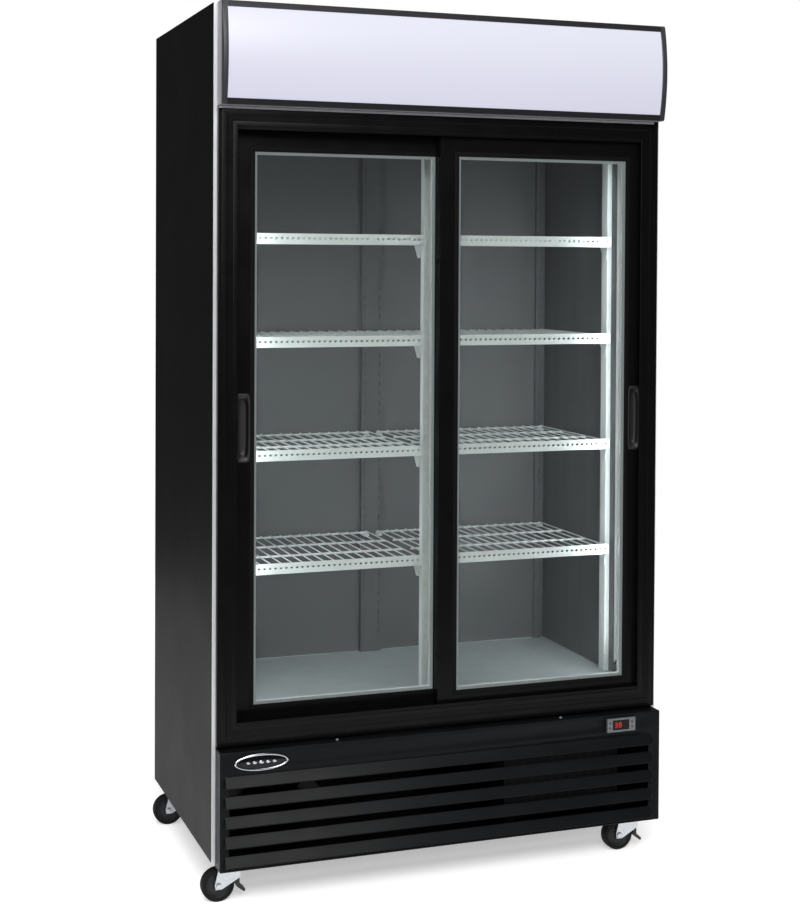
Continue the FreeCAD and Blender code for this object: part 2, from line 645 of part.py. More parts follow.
def front_grille():
    """Black steel tray with a plain top band and five down-turned louvres."""
    outer = box("grille_outer", ("-face_half", "face_half"), ("grille_front", "shell_front"),
                ("grille_bottom", "grille_top"))
    inner = box("grille_inner", ("-face_half + grille_skin", "face_half - grille_skin"),
                ("grille_front + grille_skin", "shell_front + 1"),
                ("grille_bottom + grille_skin", "grille_top - grille_skin"))
    window = box("grille_window", (-528, 524), ("grille_front - 1", "grille_front + 5"),
                 ("grille_bottom + 8", "louvre_top - 3"))
    control = box("control_cutout", ("control_left + 3", "control_right - 3"),
                  ("grille_front - 1", "grille_front + 5"),
                  ("control_bottom + 3", "control_top - 3"))
    tray = cut("grille_tray", outer, [inner, window, control])
    parts = [tray]
    for number in range(5):
        top = "louvre_top - %d * louvre_pitch" % number
        parts.append(prism("louvre", "x", [
            ("grille_front", top), ("grille_front - louvre_reach", top + " - louvre_drop"),
            ("grille_front - louvre_reach + 1.5", top + " - louvre_drop - 0.6"),
            ("grille_front + grille_skin", top + " - 2.5"), ("grille_front + grille_skin", top)],
            (-530, 526)))
        for left in (-530, 524.5):
            parts.append(prism("louvre_end", "x", [
                ("grille_front + grille_skin", top),
                ("grille_front", top),
                ("grille_front - louvre_reach", top + " - louvre_drop"),
                ("grille_front + grille_skin", top + " - louvre_drop - 6")], (left, left + 1.5)))
    for centre in (-180, 180):
        parts.append(box("grille_rib", (centre - 5, centre + 5), ("grille_front", "grille_front + 6"),
                         ("grille_bottom + 1", "louvre_top + 4")))
    keep(fuse("grille_panel", parts), "front_grille")
    screws = [cylinder("grille_screw", "z", (across, -314), "4", ("grille_top", "grille_top + 2"))
              for across in (-268, 287)]
    keep(group("screw_set", screws), "panel_screws")


def controller():
    """Electronic thermostat: bezel and box, display window and four push buttons."""
    bezel = box("control_bezel", ("control_left", "control_right"),
                ("grille_front - 5", "grille_front"), ("control_bottom", "control_top"))
    rear = box("control_rear", ("control_left + 3.5", "control_right - 3.5"),
               ("grille_front - 1", "grille_front + 44"), ("control_bottom + 3.5", "control_top - 3.5"))
    spots = {"button_up": ("control_left + 7", "control_top - 10"),
             "button_down": ("control_left + 7", "control_bottom + 10"),
             "button_set": ("control_right - 8", "control_top - 10"),
             "button_light": ("control_right - 8", "control_bottom + 10")}
    window = (("control_left + 14", "control_right - 16"), ("grille_front - 5", "grille_front - 3"),
              ("control_bottom + 4", "control_top - 4"))
    holes = [cylinder("button_hole", "y", spot, "button_radius + running",
                      ("grille_front - 6", "grille_front + 2")) for spot in spots.values()]
    holes.append(box("window_seat", window[0], ("grille_front - 6", "grille_front - 3"), window[2]))
    body = fuse("control_block", [bezel, rear])
    keep(cut("control_cut", body, holes), "controller_case")
    keep(box("window_plate", *window), "controller_window")
    for label, spot in spots.items():
        keep(cylinder(label + "_cap", "y", spot, "button_radius",
                      ("grille_front - 6.5", "grille_front")), label)


def oval(half_length, half_height, front, back):
    """An upright oval slab centred on the badge position."""
    centre = Vector(value("badge_x"), back, value("badge_z"))
    length = value(half_length)
    height = value(half_height)
    rim = Part.Ellipse(centre + Vector(length, 0, 0), centre + Vector(0, 0, height), centre)
    face = Part.Face(Part.Wire([rim.toShape()]))
    return face.extrude(Vector(0, front - back, 0))


def badge():
    """Plain oval badge: a rim around a shallow flat field, with no lettering."""
    piece = doc.addObject("Part::Feature", "badge_shape")
    back = value("grille_front")
    rim = oval("badge_half_length", "badge_half_height", back - 4, back)
    field = oval("badge_half_length - 4", "badge_half_height - 4", back - 5, back - 2)
    piece.Shape = rim.cut(field)
    keep(piece, "badge")


def header():
    """Lit sign box: open-fronted housing, bowed sign, dark rails above and below, end caps."""
    outer = box("housing_outer", ("-face_half", "face_half"), ("header_front", "shell_front"),
                ("header_bottom", "body_top"))
    inner = box("housing_inner", ("-face_half + 1.5", "face_half - 1.5"),
                ("header_front - 1", "shell_front - 1.5"), ("header_bottom + 1.5", "body_top - 1.5"))
    keep(cut("housing_cut", outer, [inner]), "header_housing")

    axis = ("sign_axis_depth", "sign_axis_height")
    inside = ("-face_half + cap_width", "face_half - cap_width")
    drum = cylinder("sign_drum", "x", axis, "sign_radius", inside)
    core = cylinder("sign_core", "x", axis, "sign_radius - sign_skin", ("-face_half", "face_half"))
    bowed = cut("sign_bow", drum, [core])
    band = box("sign_band", inside, ("header_front - 30", "header_front + 5"),
               ("header_bottom + sign_rail", "body_top - sign_rail"))
    keep(common("sign_sheet", bowed, band), "sign_panel")

    pieces = []
    for low, high in (("header_bottom", "header_bottom + sign_rail"),
                      ("body_top - sign_rail", "body_top")):
        proud = cylinder("rail_drum", "x", axis, "sign_radius + 1.5", inside)
        slab = box("rail_slab", inside, ("header_front - 30", "header_front"), (low, high))
        pieces.append(common("sign_rail_bar", proud, slab))
    for side in (-1, 1):
        across = sorted((side * value("face_half"), side * value("face_half - cap_width")))
        proud = cylinder("cap_drum", "x", axis, "sign_radius + 3", across)
        slab = box("cap_slab", across, ("header_front - 30", "header_front"),
                   ("header_bottom", "body_top"))
        pieces.append(common("sign_end_cap", proud, slab))
    keep(group("header_bars", pieces), "header_frame")


def caster(label, across, depth, braked):
    """Swivel caster, trailing towards -X: fork with kingpin, wheel, and a pedal on the front pair."""
    half = "wheel_half_width"
    top = "plate_under - 0.3"
    axle = (across + " - caster_trail", "wheel_radius")
    crown = cylinder(label + "_crown", "z", (across, depth), "28", ("plate_under - 9", top))
    king = cylinder(label + "_king", "z", (across, depth), "6", ("plate_under - 5", "body_bottom - 0.3"))
    parts = [crown, king]
    for side in (-1, 1):
        near = "%s + %d * (%s + 2)" % (depth, side, half)
        far = "%s + %d * (%s + 4.5)" % (depth, side, half)
        span = (near, far) if side == 1 else (far, near)
        parts.append(prism(label + "_leg", "y", [
            (across + " - 24", "plate_under - 8"), (axle[0] + " - 9", "wheel_radius + 2"),
            (axle[0] + " - 7", "wheel_radius - 8"), (axle[0] + " + 7", "wheel_radius - 8"),
            (across + " + 22", "wheel_radius + 15"), (across + " + 22", "plate_under - 8")], span))
    parts.append(cylinder(label + "_axle", "y", axle, "axle_radius",
                          ("%s - %s - 6.5" % (depth, half), "%s + %s + 6.5" % (depth, half))))
    if braked:
        parts.append(cylinder(label + "_brake_pin", "y", (across + " + 16", "wheel_radius + 19.5"), "2.5",
                              ("%s - %s - 4" % (depth, half), "%s + %s + 4" % (depth, half))))
    keep(fuse(label + "_fork_weldment", parts), label + "_fork")

    tread = cylinder(label + "_tread", "y", axle, "wheel_radius",
                     ("%s - %s" % (depth, half), "%s + %s" % (depth, half)))
    dishes = [cylinder(label + "_dish", "y", axle, "wheel_radius - 9",
                       ("%s - %s - 1" % (depth, half), "%s - %s + 4" % (depth, half))),
              cylinder(label + "_dish", "y", axle, "wheel_radius - 9",
                       ("%s + %s - 4" % (depth, half), "%s + %s + 1" % (depth, half)))]
    hub = cylinder(label + "_hub", "y", axle, "11",
                   ("%s - %s - 1" % (depth, half), "%s + %s + 1" % (depth, half)))
    bore = cylinder(label + "_bore", "y", axle, "axle_radius + running",
                    ("%s - %s - 2" % (depth, half), "%s + %s + 2" % (depth, half)))
    rim = fuse(label + "_rim", [cut(label + "_dished", tread, dishes), hub])
    keep(cut(label + "_wheel_cut", rim, [bore]), label + "_wheel")

    if braked:
        profile = [(11, 62), (21, 62), (22, 34), (36, 22), (33, 16), (15, 30), (12, 50)]
        corners = [("%s + %d" % (across, a), b) for a, b in profile]
        plate = prism(label + "_pedal_plate", "y", corners,
                      ("%s - %s" % (depth, half), "%s + %s" % (depth, half)))
        eye = cylinder(label + "_pedal_eye", "y", (across + " + 16", "wheel_radius + 19.5"),
                       "2.5 + running", ("%s - %s - 1" % (depth, half), "%s + %s + 1" % (depth, half)))
        keep(cut(label + "_pedal_cut", plate, [eye]), label + "_pedal")


def casters():
    """Four swivel casters under fixed top plates; the front pair has brake pedals."""
    plates = []
    for depth_name, depth, braked in (("front", "caster_front", True), ("rear", "caster_rear", False)):
        for side, word in ((-1, "left"), (1, "right")):
            across = "%d * caster_x" % side
            caster("caster_%s_%s" % (depth_name, word), across, depth, braked)
            plate = box("caster_plate", (across + " - 38", across + " + 38"),
                        (depth + " - 38", depth + " + 38"), ("plate_under", "body_bottom"))
            hole = cylinder("king_hole", "z", (across, depth), "6 + running",
                            ("plate_under - 1", "body_bottom + 1"))
            plates.append(cut("caster_plate_cut", plate, [hole]))
    keep(group("plate_set", plates), "caster_plates")


def cord_gland():
    """Strain-relief bush in the back panel, where a supply cord would leave."""
    bush = cylinder("gland_bush", "y", ("380", "180"), "10", ("back_face - 12", "back_face"))
    bore = cylinder("gland_bore", "y", ("380", "180"), "4.5", ("back_face - 13", "back_face + 1"))
    collar = cylinder("gland_collar", "y", ("380", "180"), "14",
                      ("back_face - 12", "back_face - 2 * skin"))
    keep(cut("gland_cut", fuse("gland_block", [bush, collar]), [bore]), "cord_gland")


side_panel("left_side_panel", -1)
side_panel("right_side_panel", 1)
top_panel()
back_panel()
base_chassis()
inner_liner()
foam_insulation()
silver_trims()
surround()
door("left", "rear_door_left", "rear_leaf")
door("right", "front_door_left", "front_leaf")
pilasters()
shelving()
lamps()
evaporator()
fans()
machinery()
front_grille()
controller()
badge()
header()
casters()
cord_gland()
doc.recompute()

failed = [item.Name for item in doc.Objects if {"Invalid", "Error"} & set(item.State)]
if failed:
    raise RuntimeError("features failed: %s" % ", ".join(failed))
for piece in nodes:
    if piece.Shape.isNull() or not piece.Shape.isValid() or not piece.Shape.Solids:
        raise RuntimeError("%s has no valid solid" % piece.Label)

os.makedirs("parts", exist_ok=True)
for piece in nodes:
    piece.Shape.exportStep("parts/%s.step" % piece.Label)
print("%d sub-parts, %d solids" % (len(nodes), sum(len(piece.Shape.Solids) for piece in nodes)))
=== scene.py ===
"""Finish of a sliding-door display refrigerator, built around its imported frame.

Laid out as a Blender add-on and run as a script. Lengths inside the shape functions are in
millimetres; meshes are written in metres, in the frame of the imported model: +Z up, front at -Y.
"""

import math

import bmesh
import bpy
import numpy as np
from bpy.props import FloatProperty, FloatVectorProperty, PointerProperty
from mathutils import Matrix, Vector


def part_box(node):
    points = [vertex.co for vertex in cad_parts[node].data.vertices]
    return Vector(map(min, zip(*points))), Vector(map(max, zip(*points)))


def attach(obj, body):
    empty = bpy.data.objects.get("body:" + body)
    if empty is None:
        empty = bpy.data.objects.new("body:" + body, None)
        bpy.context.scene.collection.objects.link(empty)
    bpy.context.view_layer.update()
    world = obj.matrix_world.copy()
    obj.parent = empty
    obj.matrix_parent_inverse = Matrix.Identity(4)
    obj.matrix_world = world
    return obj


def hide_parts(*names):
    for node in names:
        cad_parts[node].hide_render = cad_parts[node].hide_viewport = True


bl_info = {
    "name": "Sliding Door Merchandiser",
    "version": (1, 0, 0),
    "blender": (4, 5, 0),
    "location": "3D View > Sidebar > Merchandiser",
    "description": "Doors, sign box, grille, casters and finishes of a display refrigerator",
    "category": "Object",
}

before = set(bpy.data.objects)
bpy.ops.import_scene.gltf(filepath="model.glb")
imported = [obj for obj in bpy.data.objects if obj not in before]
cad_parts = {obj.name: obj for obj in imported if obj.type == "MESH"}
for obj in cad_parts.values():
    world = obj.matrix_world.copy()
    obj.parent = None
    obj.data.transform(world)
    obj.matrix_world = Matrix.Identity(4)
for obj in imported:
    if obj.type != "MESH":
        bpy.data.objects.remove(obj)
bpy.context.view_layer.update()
SIDES = ("left", "right")
CASTERS = ("front_left", "front_right", "rear_left", "rear_right")
CASTER_TRAIL = 27.0  # from a wheel's middle to its swivel axis, in millimetres


# --- colour and nodes ---------------------------------------------------------------------

def linear(code):
    """An sRGB hex such as "#1a2b3c" as linear red, green, blue and an alpha of one."""
    srgb = np.array([int(code[at:at + 2], 16) for at in (1, 3, 5)]) / 255
    curve = np.where(srgb <= 0.04045, srgb / 12.92, ((srgb + 0.055) / 1.055) ** 2.4)
    return (*curve.tolist(), 1.0)


def shade(colour):
    """A colour for a socket, from a hex or from one of the panel's colours."""
    return linear(colour) if isinstance(colour, str) else (*tuple(colour)[:3], 1.0)


def per_metre(size):
    """Pattern scale whose features are that many millimetres across."""
    return 1000.0 / size


def add(tree, kind, settings=None, links=None):
    """Add a node: settings are its own properties or input values, links feed its inputs."""
    node = tree.nodes.new(kind)
    for key, amount in (settings or {}).items():
        if isinstance(key, str) and hasattr(node, key):
            setattr(node, key, amount)
        else:
            node.inputs[key].default_value = amount
    for key, source in (links or {}).items():
        tree.links.new(source, node.inputs[key])
    return node


def surface(name, colour, roughness, metallic=0.0, **sockets):
    """Start a material; every value that is the same all over sits on the shader's own socket."""
    material = bpy.data.materials.new(name)
    material.use_nodes = True
    tree = material.node_tree
    shader = tree.nodes["Principled BSDF"]
    shader.inputs["Base Color"].default_value = shade(colour)
    shader.inputs["Roughness"].default_value = roughness
    shader.inputs["Metallic"].default_value = metallic
    for key, amount in sockets.items():
        shader.inputs[key.replace("_", " ")].default_value = amount
    place = add(tree, "ShaderNodeTexCoord").outputs["Object"]
    return material, tree, shader, place


def lay(tree, shader, pattern, colours=None, vary=None, roughness=None, relief=0.0,
        strength=1.0):
    """Let a 0 to 1 pattern steer the finish: the colour runs between two ends or two shares
    of the material's own colour, roughness between two ends, and relief is the height in
    millimetres between the pattern's lows and highs."""
    if vary:
        own = np.array(shader.inputs["Base Color"].default_value[:3])
        colours = [np.minimum(own * share, 1.0) for share in vary]
    if colours:
        blend = add(tree, "ShaderNodeMix", {"data_type": "RGBA", 6: shade(colours[0]),
                                            7: shade(colours[1])}, {0: pattern})
        tree.links.new(blend.outputs[2], shader.inputs["Base Color"])
    if roughness:
        spread = add(tree, "ShaderNodeMapRange", {
            "From Min": 0.3, "From Max": 0.7, "To Min": roughness[0], "To Max": roughness[1]},
            {"Value": pattern})
        tree.links.new(spread.outputs["Result"], shader.inputs["Roughness"])
    if relief:
        bump = add(tree, "ShaderNodeBump", {"Distance": relief / 1000, "Strength": strength},
                   {"Height": pattern})
        tree.links.new(bump.outputs["Normal"], shader.inputs["Normal"])


# --- finishes -----------------------------------------------------------------------------

def pattern(size, detail=2.0, kind="Noise", stretch=None, distortion=0.0, **steers):
    """A layer of a finish: features that many millimetres across, stretched along the axes
    whose factor is small, and what the layer steers, in the terms of lay."""
    return size, detail, kind, stretch, distortion, steers


# Finishes made of a base and patterns laid on it: base colour, which is a hex or the name of one
# of the panel's colours, roughness, metallic, other shader inputs that are the same all over.
LAYERED = {
    # polyester powder coat on sheet steel: orange peel about 2 mm across that breaks up
    # reflections, and faint duller patches a hand's width across where it has been wiped
    "cabinet_powder_coat": ("cabinet", 0.44, 0.0, {"Specular_IOR_Level": 0.035}, (
        pattern(2.2, 1.5, relief=0.06, strength=0.35),
        pattern(160, 3, roughness=(0.44, 0.48)))),
    # the same coat on the folded grille, a little smoother, with dust greying it in patches
    "grille_powder_coat": ("#0d0e0f", 0.4, 0.0, {"Specular_IOR_Level": 0.07}, (
        pattern(2.6, 1.5, relief=0.05, strength=0.3),
        pattern(90, 5, colours=("#0a0b0c", "#101113"), roughness=(0.38, 0.46)))),
    # satin black coated aluminium extrusion: die lines along the bars, a soft sheen and touch
    # marks; the lines are about 0.3 mm apart in life, drawn 1.5 mm apart so that they show
    "satin_extrusion": ("extrusion", 0.3, 0.0, {"Specular_IOR_Level": 0.12}, (
        pattern(1.5, 1, stretch=(1.0, 1.0, 0.02), relief=0.01, strength=0.25),
        pattern(70, 4, roughness=(0.26, 0.36)))),
    # clear anodised aluminium strip: metal with long fine brushing that stretches highlights
    "anodised_aluminium": ("aluminium", 0.36, 0.35, {}, (
        pattern(0.8, 2, stretch=(1.0, 1.0, 0.015), vary=(0.82, 1.12), roughness=(0.26, 0.42),
                relief=0.004, strength=0.2),)),
    # rolled aluminium spacer between the panes: matt metal, its perforations 3 mm apart as a
    # fine ripple; a trace of glow stands for light that the panes pass on
    "spacer_bar": ("#cfd3d3", 0.45, 0.3, {
        "Emission_Strength": 0.12, "Emission_Color": linear("#dfe6e6")}, (
        pattern(3.0, kind="Voronoi", vary=(0.85, 1.05), relief=0.1, strength=0.4),)),
    # epoxy-dipped steel wire and strip: smooth grey-white plastic skin with slow thickness
    # waves about 7 mm long and slightly yellowed patches
    "shelf_epoxy": ("shelves", 0.34, 0.0, {"Coat_Weight": 0.2, "Coat_Roughness": 0.15}, (
        pattern(7, 1, relief=0.08, strength=0.35),
        pattern(55, 3, vary=(0.93, 1.02), roughness=(0.3, 0.4)))),
    # float glass with a clear anti-reflective coat: colourless, hardly mirroring, very slightly
    # wavy from the tin bath; the index is below real glass's 1.52, to stand for that coat
    "insulated_glass": ("#fbfdfc", 0.0, 0.0, {"IOR": 1.2, "Transmission_Weight": 1.0}, (
        pattern(260, 1, relief=0.05, strength=0.25),)),
    # extruded EPDM bead: dull black rubber with a fine talc bloom
    "glazing_rubber": ("#070708", 0.66, 0.0, {"Specular_IOR_Level": 0.08}, (
        pattern(1.4, 3, colours=("#060607", "#0b0b0c"), roughness=(0.6, 0.72), relief=0.02,
                strength=0.3),)),
    # glass-filled black nylon with a spark-eroded grain about 0.8 mm across, drawn 1.2 mm
    "moulded_nylon": ("#0c0c0d", 0.5, 0.0, {}, (
        pattern(1.2, kind="Voronoi", colours=("#0a0a0b", "#121213"), roughness=(0.44, 0.58),
                relief=0.04, strength=0.35),)),
    # uncoloured machined nylon of the door rollers: waxy, a little light goes in, turning rings
    "natural_nylon": ("#cfccc0", 0.38, 0.0, {
        "Subsurface_Weight": 0.15, "Subsurface_Scale": 0.002}, (
        pattern(1.0, 2, colours=("#c4c1b4", "#d9d6cb"), relief=0.02, strength=0.2),)),
    # bright zinc plated pressed steel: pale bluish metal with soft press marks
    "zinc_plate": ("#b9bdc1", 0.28, 0.9, {}, (
        pattern(6, 4, colours=("#a4a8ad", "#cfd3d6"), roughness=(0.2, 0.34), relief=0.02,
                strength=0.1),)),
    # light grey stove enamel on the sign box: smooth, low gloss, with slight orange peel
    "header_enamel": ("header", 0.38, 0.0, {}, (
        pattern(3, 1, relief=0.04, strength=0.3),
        pattern(110, 3, roughness=(0.34, 0.44)))),
    # bronze-grey anodised sign rail: satin metal with drawing lines along the bar
    "header_rail": ("#2c2c30", 0.34, 0.6, {}, (
        pattern(0.9, 2, stretch=(0.015, 1.0, 1.0), vary=(0.85, 1.15), roughness=(0.28, 0.42),
                relief=0.005, strength=0.2),)),
    # injection moulded grey ABS end cap: fine etched grain, soft highlight on its edge
    "cap_plastic": ("#2e2f33", 0.36, 0.0, {"Specular_IOR_Level": 0.35}, (
        pattern(1.0, 2, vary=(0.88, 1.12), roughness=(0.32, 0.44), relief=0.02,
                strength=0.3),)),
    # grey ABS bezel of the thermostat, with a finer grain than the big mouldings
    "controller_abs": ("#5c5f62", 0.4, 0.0, {"Specular_IOR_Level": 0.3}, (
        pattern(0.7, 2, vary=(0.88, 1.1), roughness=(0.34, 0.48), relief=0.02,
                strength=0.3),)),
    # silicone push button, dark grey and matt, polished a little where fingers press
    "button_rubber": ("#3a3b3e", 0.55, 0.0, {}, (
        pattern(2, 2, colours=("#313235", "#444549"), roughness=(0.4, 0.6)),)),
    # smoked red polycarbonate display window: near black and glossy, hairline scratches
    "smoked_window": ("#0d0304", 0.14, 0.0, {
        "Specular_IOR_Level": 0.12, "Coat_Weight": 0.05, "Coat_Roughness": 0.05}, (
        pattern(4, 6, colours=("#0a0203", "#120506"), roughness=(0.08, 0.2)),)),
    # light-emitting display segment, red, slightly uneven along its length
    "lit_segment": ("#a01018", 0.4, 0.0, {
        "Emission_Strength": 0.55, "Emission_Color": linear("#ff2a30")}, (
        pattern(1.5, vary=(0.8, 1.15)),)),
    # chromed moulding of the badge: mirror metal with slight ripples under the plating
    "chrome_plate": ("#b4b6ba", 0.12, 1.0, {}, (
        pattern(5, 2, roughness=(0.06, 0.16), relief=0.02, strength=0.25),)),
    # domed black resin in the badge: wet gloss, with a faint deep-blue mottle
    "badge_enamel": ("#050506", 0.12, 0.0, {
        "Specular_IOR_Level": 0.2, "Coat_Weight": 0.05, "Coat_Roughness": 0.03}, (
        pattern(12, 3, colours=("#040405", "#09090c")),)),
    # moulded black caster tyre: dull, with scuffs and grey floor dust on the tread
    "tyre_rubber": ("#0c0c0d", 0.7, 0.0, {"Specular_IOR_Level": 0.15}, (
        pattern(5, 6, colours=("#09090a", "#161618"), roughness=(0.6, 0.82), relief=0.1,
                strength=0.3),)),
    # grey moulded wheel centre: semi-matt plastic with flow marks
    "hub_polypropylene": ("#151617", 0.42, 0.0, {"Specular_IOR_Level": 0.25}, (
        pattern(8, 3, distortion=1.2, colours=("#111213", "#1c1d1f"),
                roughness=(0.36, 0.5)),)),
    # black stove enamel on drawn and cast steel: glossy with runs and a rough skin
    "compressor_enamel": ("#111112", 0.28, 0.0, {}, (
        pattern(4, 4, colours=("#0c0c0d", "#1a1a1b"), roughness=(0.2, 0.4), relief=0.15,
                strength=0.35),)),
    # poured polyurethane foam: cream, matt and porous, cells about 1 mm, drawn 2 mm
    "insulation_foam": ("#d8c68f", 0.9, 0.0, {}, (
        pattern(2, kind="Voronoi", colours=("#c9b57c", "#e2d3a4"), relief=0.5,
                strength=0.6),)),
    # black glass-filled fan moulding with dust along it
    "fan_plastic": ("#161617", 0.45, 0.0, {}, (
        pattern(14, 5, colours=("#111112", "#232325"), roughness=(0.4, 0.6)),)),
}


def layered(name):
    """Make the finish of that row of the table."""
    colour, gloss, metallic, sockets, patterns = LAYERED[name]
    if not colour.startswith("#"):
        colour = getattr(bpy.context.scene.merchandiser_colours, colour)
    material, tree, shader, place = surface(name, colour, gloss, metallic, **sockets)
    for size, detail, kind, stretch, distortion, steers in patterns:
        where = place
        if stretch:
            where = add(tree, "ShaderNodeMapping", {"Scale": stretch},
                        {"Vector": place}).outputs["Vector"]
        settings = {"Scale": per_metre(size)}
        if kind == "Noise":
            settings.update({"Detail": detail, "Distortion": distortion})
        field = add(tree, "ShaderNodeTex" + kind, settings, {"Vector": where})
        lay(tree, shader, field.outputs["Fac" if kind == "Noise" else "Distance"], **steers)
    return material


def liner_enamel(name):
    """Prepainted steel liner: flat enamel with a stucco emboss about 5 mm across and faint
    condensation streaks running down. The floor sheet is drawn a paler grey than the walls, as
    painted light for the light that falls on it."""
    tint = bpy.context.scene.merchandiser_colours.liner
    material, tree, shader, place = surface(name, tint, 0.5)
    parts = add(tree, "ShaderNodeSeparateXYZ", None, {"Vector": place})
    sheet = float(span("inner_liner")[0][2] + 3) / 1000
    under = add(tree, "ShaderNodeMath", {"operation": "LESS_THAN", 1: sheet},
                {0: parts.outputs["Z"]})
    # painted light: the floor sheet is drawn paler than the walls, standing for the light falling
    # on it
    lay(tree, shader, under.outputs["Value"], colours=(tint, "#9aa0a2"))
    stucco = add(tree, "ShaderNodeTexNoise", {"Scale": per_metre(5.0), "Detail": 2},
                 {"Vector": place})
    lay(tree, shader, stucco.outputs["Fac"], relief=0.05, strength=0.2)
    drawn = add(tree, "ShaderNodeMapping", {"Scale": (1.0, 1.0, 0.1)}, {"Vector": place})
    streaks = add(tree, "ShaderNodeTexNoise", {"Scale": per_metre(45), "Detail": 3},
                  {"Vector": drawn.outputs["Vector"]})
    lay(tree, shader, streaks.outputs["Fac"], roughness=(0.42, 0.58))
    return material


def post_enamel(name):
    """Roll-formed shelf posts: the front ones are drawn in the shelves' colour and the slotted
    strips at the rear wall in the liner's colour, so the colour changes behind the shelves' middle."""
    colours = bpy.context.scene.merchandiser_colours
    material, tree, shader, place = surface(name, colours.shelves, 0.36)
    parts = add(tree, "ShaderNodeSeparateXYZ", None, {"Vector": place})
    behind = add(tree, "ShaderNodeMath", {"operation": "GREATER_THAN", 1: 0.1},
                 {0: parts.outputs["Y"]})
    lay(tree, shader, behind.outputs["Value"], colours=(colours.shelves, colours.liner))
    rolled = add(tree, "ShaderNodeTexNoise", {"Scale": per_metre(9), "Detail": 2},
                 {"Vector": place})
    lay(tree, shader, rolled.outputs["Fac"], roughness=(0.3, 0.42), relief=0.05, strength=0.3)
    return material


def galvanised_steel(name):
    """Hot-dip galvanised sheet: zinc crystals about 11 mm across, each with its own grey and
    gloss, under a dull film."""
    material, tree, shader, place = surface(name, "#8b8f92", 0.42, 0.85)
    spangle = add(tree, "ShaderNodeTexVoronoi", {"Scale": per_metre(11), "Randomness": 1.0},
                  {"Vector": place})
    grey = add(tree, "ShaderNodeSeparateColor", None, {"Color": spangle.outputs["Color"]})
    lay(tree, shader, grey.outputs["Red"], colours=("#7c8083", "#a2a6a9"),
        roughness=(0.34, 0.5), relief=0.01, strength=0.2)
    return material


def opal_acrylic(name):
    """Opal acrylic sign lit from behind: lavender-white, its glow a little brighter towards the
    top, satin face that takes the room light on top of its own glow."""
    tint = bpy.context.scene.merchandiser_colours.sign
    material, tree, shader, place = surface(name, tint, 0.28, Emission_Strength=0.45)
    parts = add(tree, "ShaderNodeSeparateXYZ", None, {"Vector": place})
    middle = (span("sign_panel")[0] + span("sign_panel")[1]) / 2000
    level = add(tree, "ShaderNodeMapRange", {
        "interpolation_type": "SMOOTHSTEP", "From Min": float(middle[2]) - 0.1,
        "From Max": float(middle[2]) + 0.1, "To Min": 0.0, "To Max": 1.0},
        {"Value": parts.outputs["Z"]})
    glow = add(tree, "ShaderNodeMix", {"data_type": "RGBA", 6: linear("#dedef0"),
                                       7: linear("#f0f1fc")}, {0: level.outputs["Result"]})
    tree.links.new(glow.outputs[2], shader.inputs["Emission Color"])
    mottle = add(tree, "ShaderNodeTexNoise", {"Scale": per_metre(0.9), "Detail": 2},
                 {"Vector": place})
    lay(tree, shader, mottle.outputs["Fac"], relief=0.01, strength=0.2)
    return material


def lamp_diffuser(name):
    """Frosted tube over a strip of light-emitting diodes: cool white, with the diodes' 16 mm
    spacing just showing as brighter bands."""
    material, tree, shader, place = surface(name, "#f2f6ff", 0.5, Emission_Strength=2.4)
    bands = add(tree, "ShaderNodeTexWave", {"bands_direction": "Z",
                                            "Scale": per_metre(16) / 20}, {"Vector": place})
    cool = add(tree, "ShaderNodeMix", {"data_type": "RGBA", 6: linear("#dfe8f6"),
                                       7: linear("#f6faff")}, {0: bands.outputs["Fac"]})
    tree.links.new(cool.outputs[2], shader.inputs["Emission Color"])
    return material


def finned_coil(name):
    """Black-dipped aluminium fins on copper tubes: upright fins 2.1 mm apart in life, drawn 4 mm
    apart so that the lines show, with painted shade darkening the hollows between them. The black
    is kept very dark, partly as painted shade for the gaps of the grille in front."""
    # the near-black base is partly the coil's black dip and partly painted shade for the grille's
    # gaps
    material, tree, shader, place = surface(name, "#101112", 0.6, 0.2,
                                            Specular_IOR_Level=0.1)
    fins = add(tree, "ShaderNodeTexWave", {"bands_direction": "X", "wave_profile": "TRI",
                                           "Scale": per_metre(4) / 20}, {"Vector": place})
    # painted shade: the low of the fin pattern darkens the hollows between the fins
    lay(tree, shader, fins.outputs["Fac"], colours=("#060607", "#101112"), relief=0.8,
        strength=0.6)
    return material


# finishes whose nodes differ from the table's
OWN_NODES = {make.__name__: make for make in (
    liner_enamel, post_enamel, galvanised_steel, opal_acrylic, lamp_diffuser, finned_coil)}


def finish(name):
    """The material of that name, made the first time it is asked for."""
    return bpy.data.materials.get(name) or OWN_NODES.get(name, layered)(name)


def dress(finish_name, *nodes):
    """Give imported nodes, whose shape stays as it is, a finish."""
    for node in nodes:
        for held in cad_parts[node].material_slots:
            held.material = finish(finish_name)


# --- shapes -------------------------------------------------------------------------------

def span(node):
    """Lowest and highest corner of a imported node, in millimetres."""
    low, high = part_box(node)
    return np.array(low) * 1000, np.array(high) * 1000


def rounded(corners, radius, steps=4):
    """Round a closed outline: each corner p becomes the curve (1-t)^2 a + 2t(1-t) p + t^2 b,
    where a and b lie one radius from p along its two sides, or 0.45 of a short side."""
    p = np.array(corners, float)
    back, ahead = np.roll(p, 1, 0) - p, np.roll(p, -1, 0) - p
    long_back = np.linalg.norm(back, axis=1, keepdims=True)
    long_ahead = np.linalg.norm(ahead, axis=1, keepdims=True)
    reach = np.minimum(radius, 0.45 * np.minimum(long_back, long_ahead))
    a, b = p + back / long_back * reach, p + ahead / long_ahead * reach
    t = np.linspace(0, 1, steps + 1)[:, None, None]
    curve = (1 - t) ** 2 * a + 2 * t * (1 - t) * p + t ** 2 * b
    return curve.transpose(1, 0, 2).reshape(-1, p.shape[1])


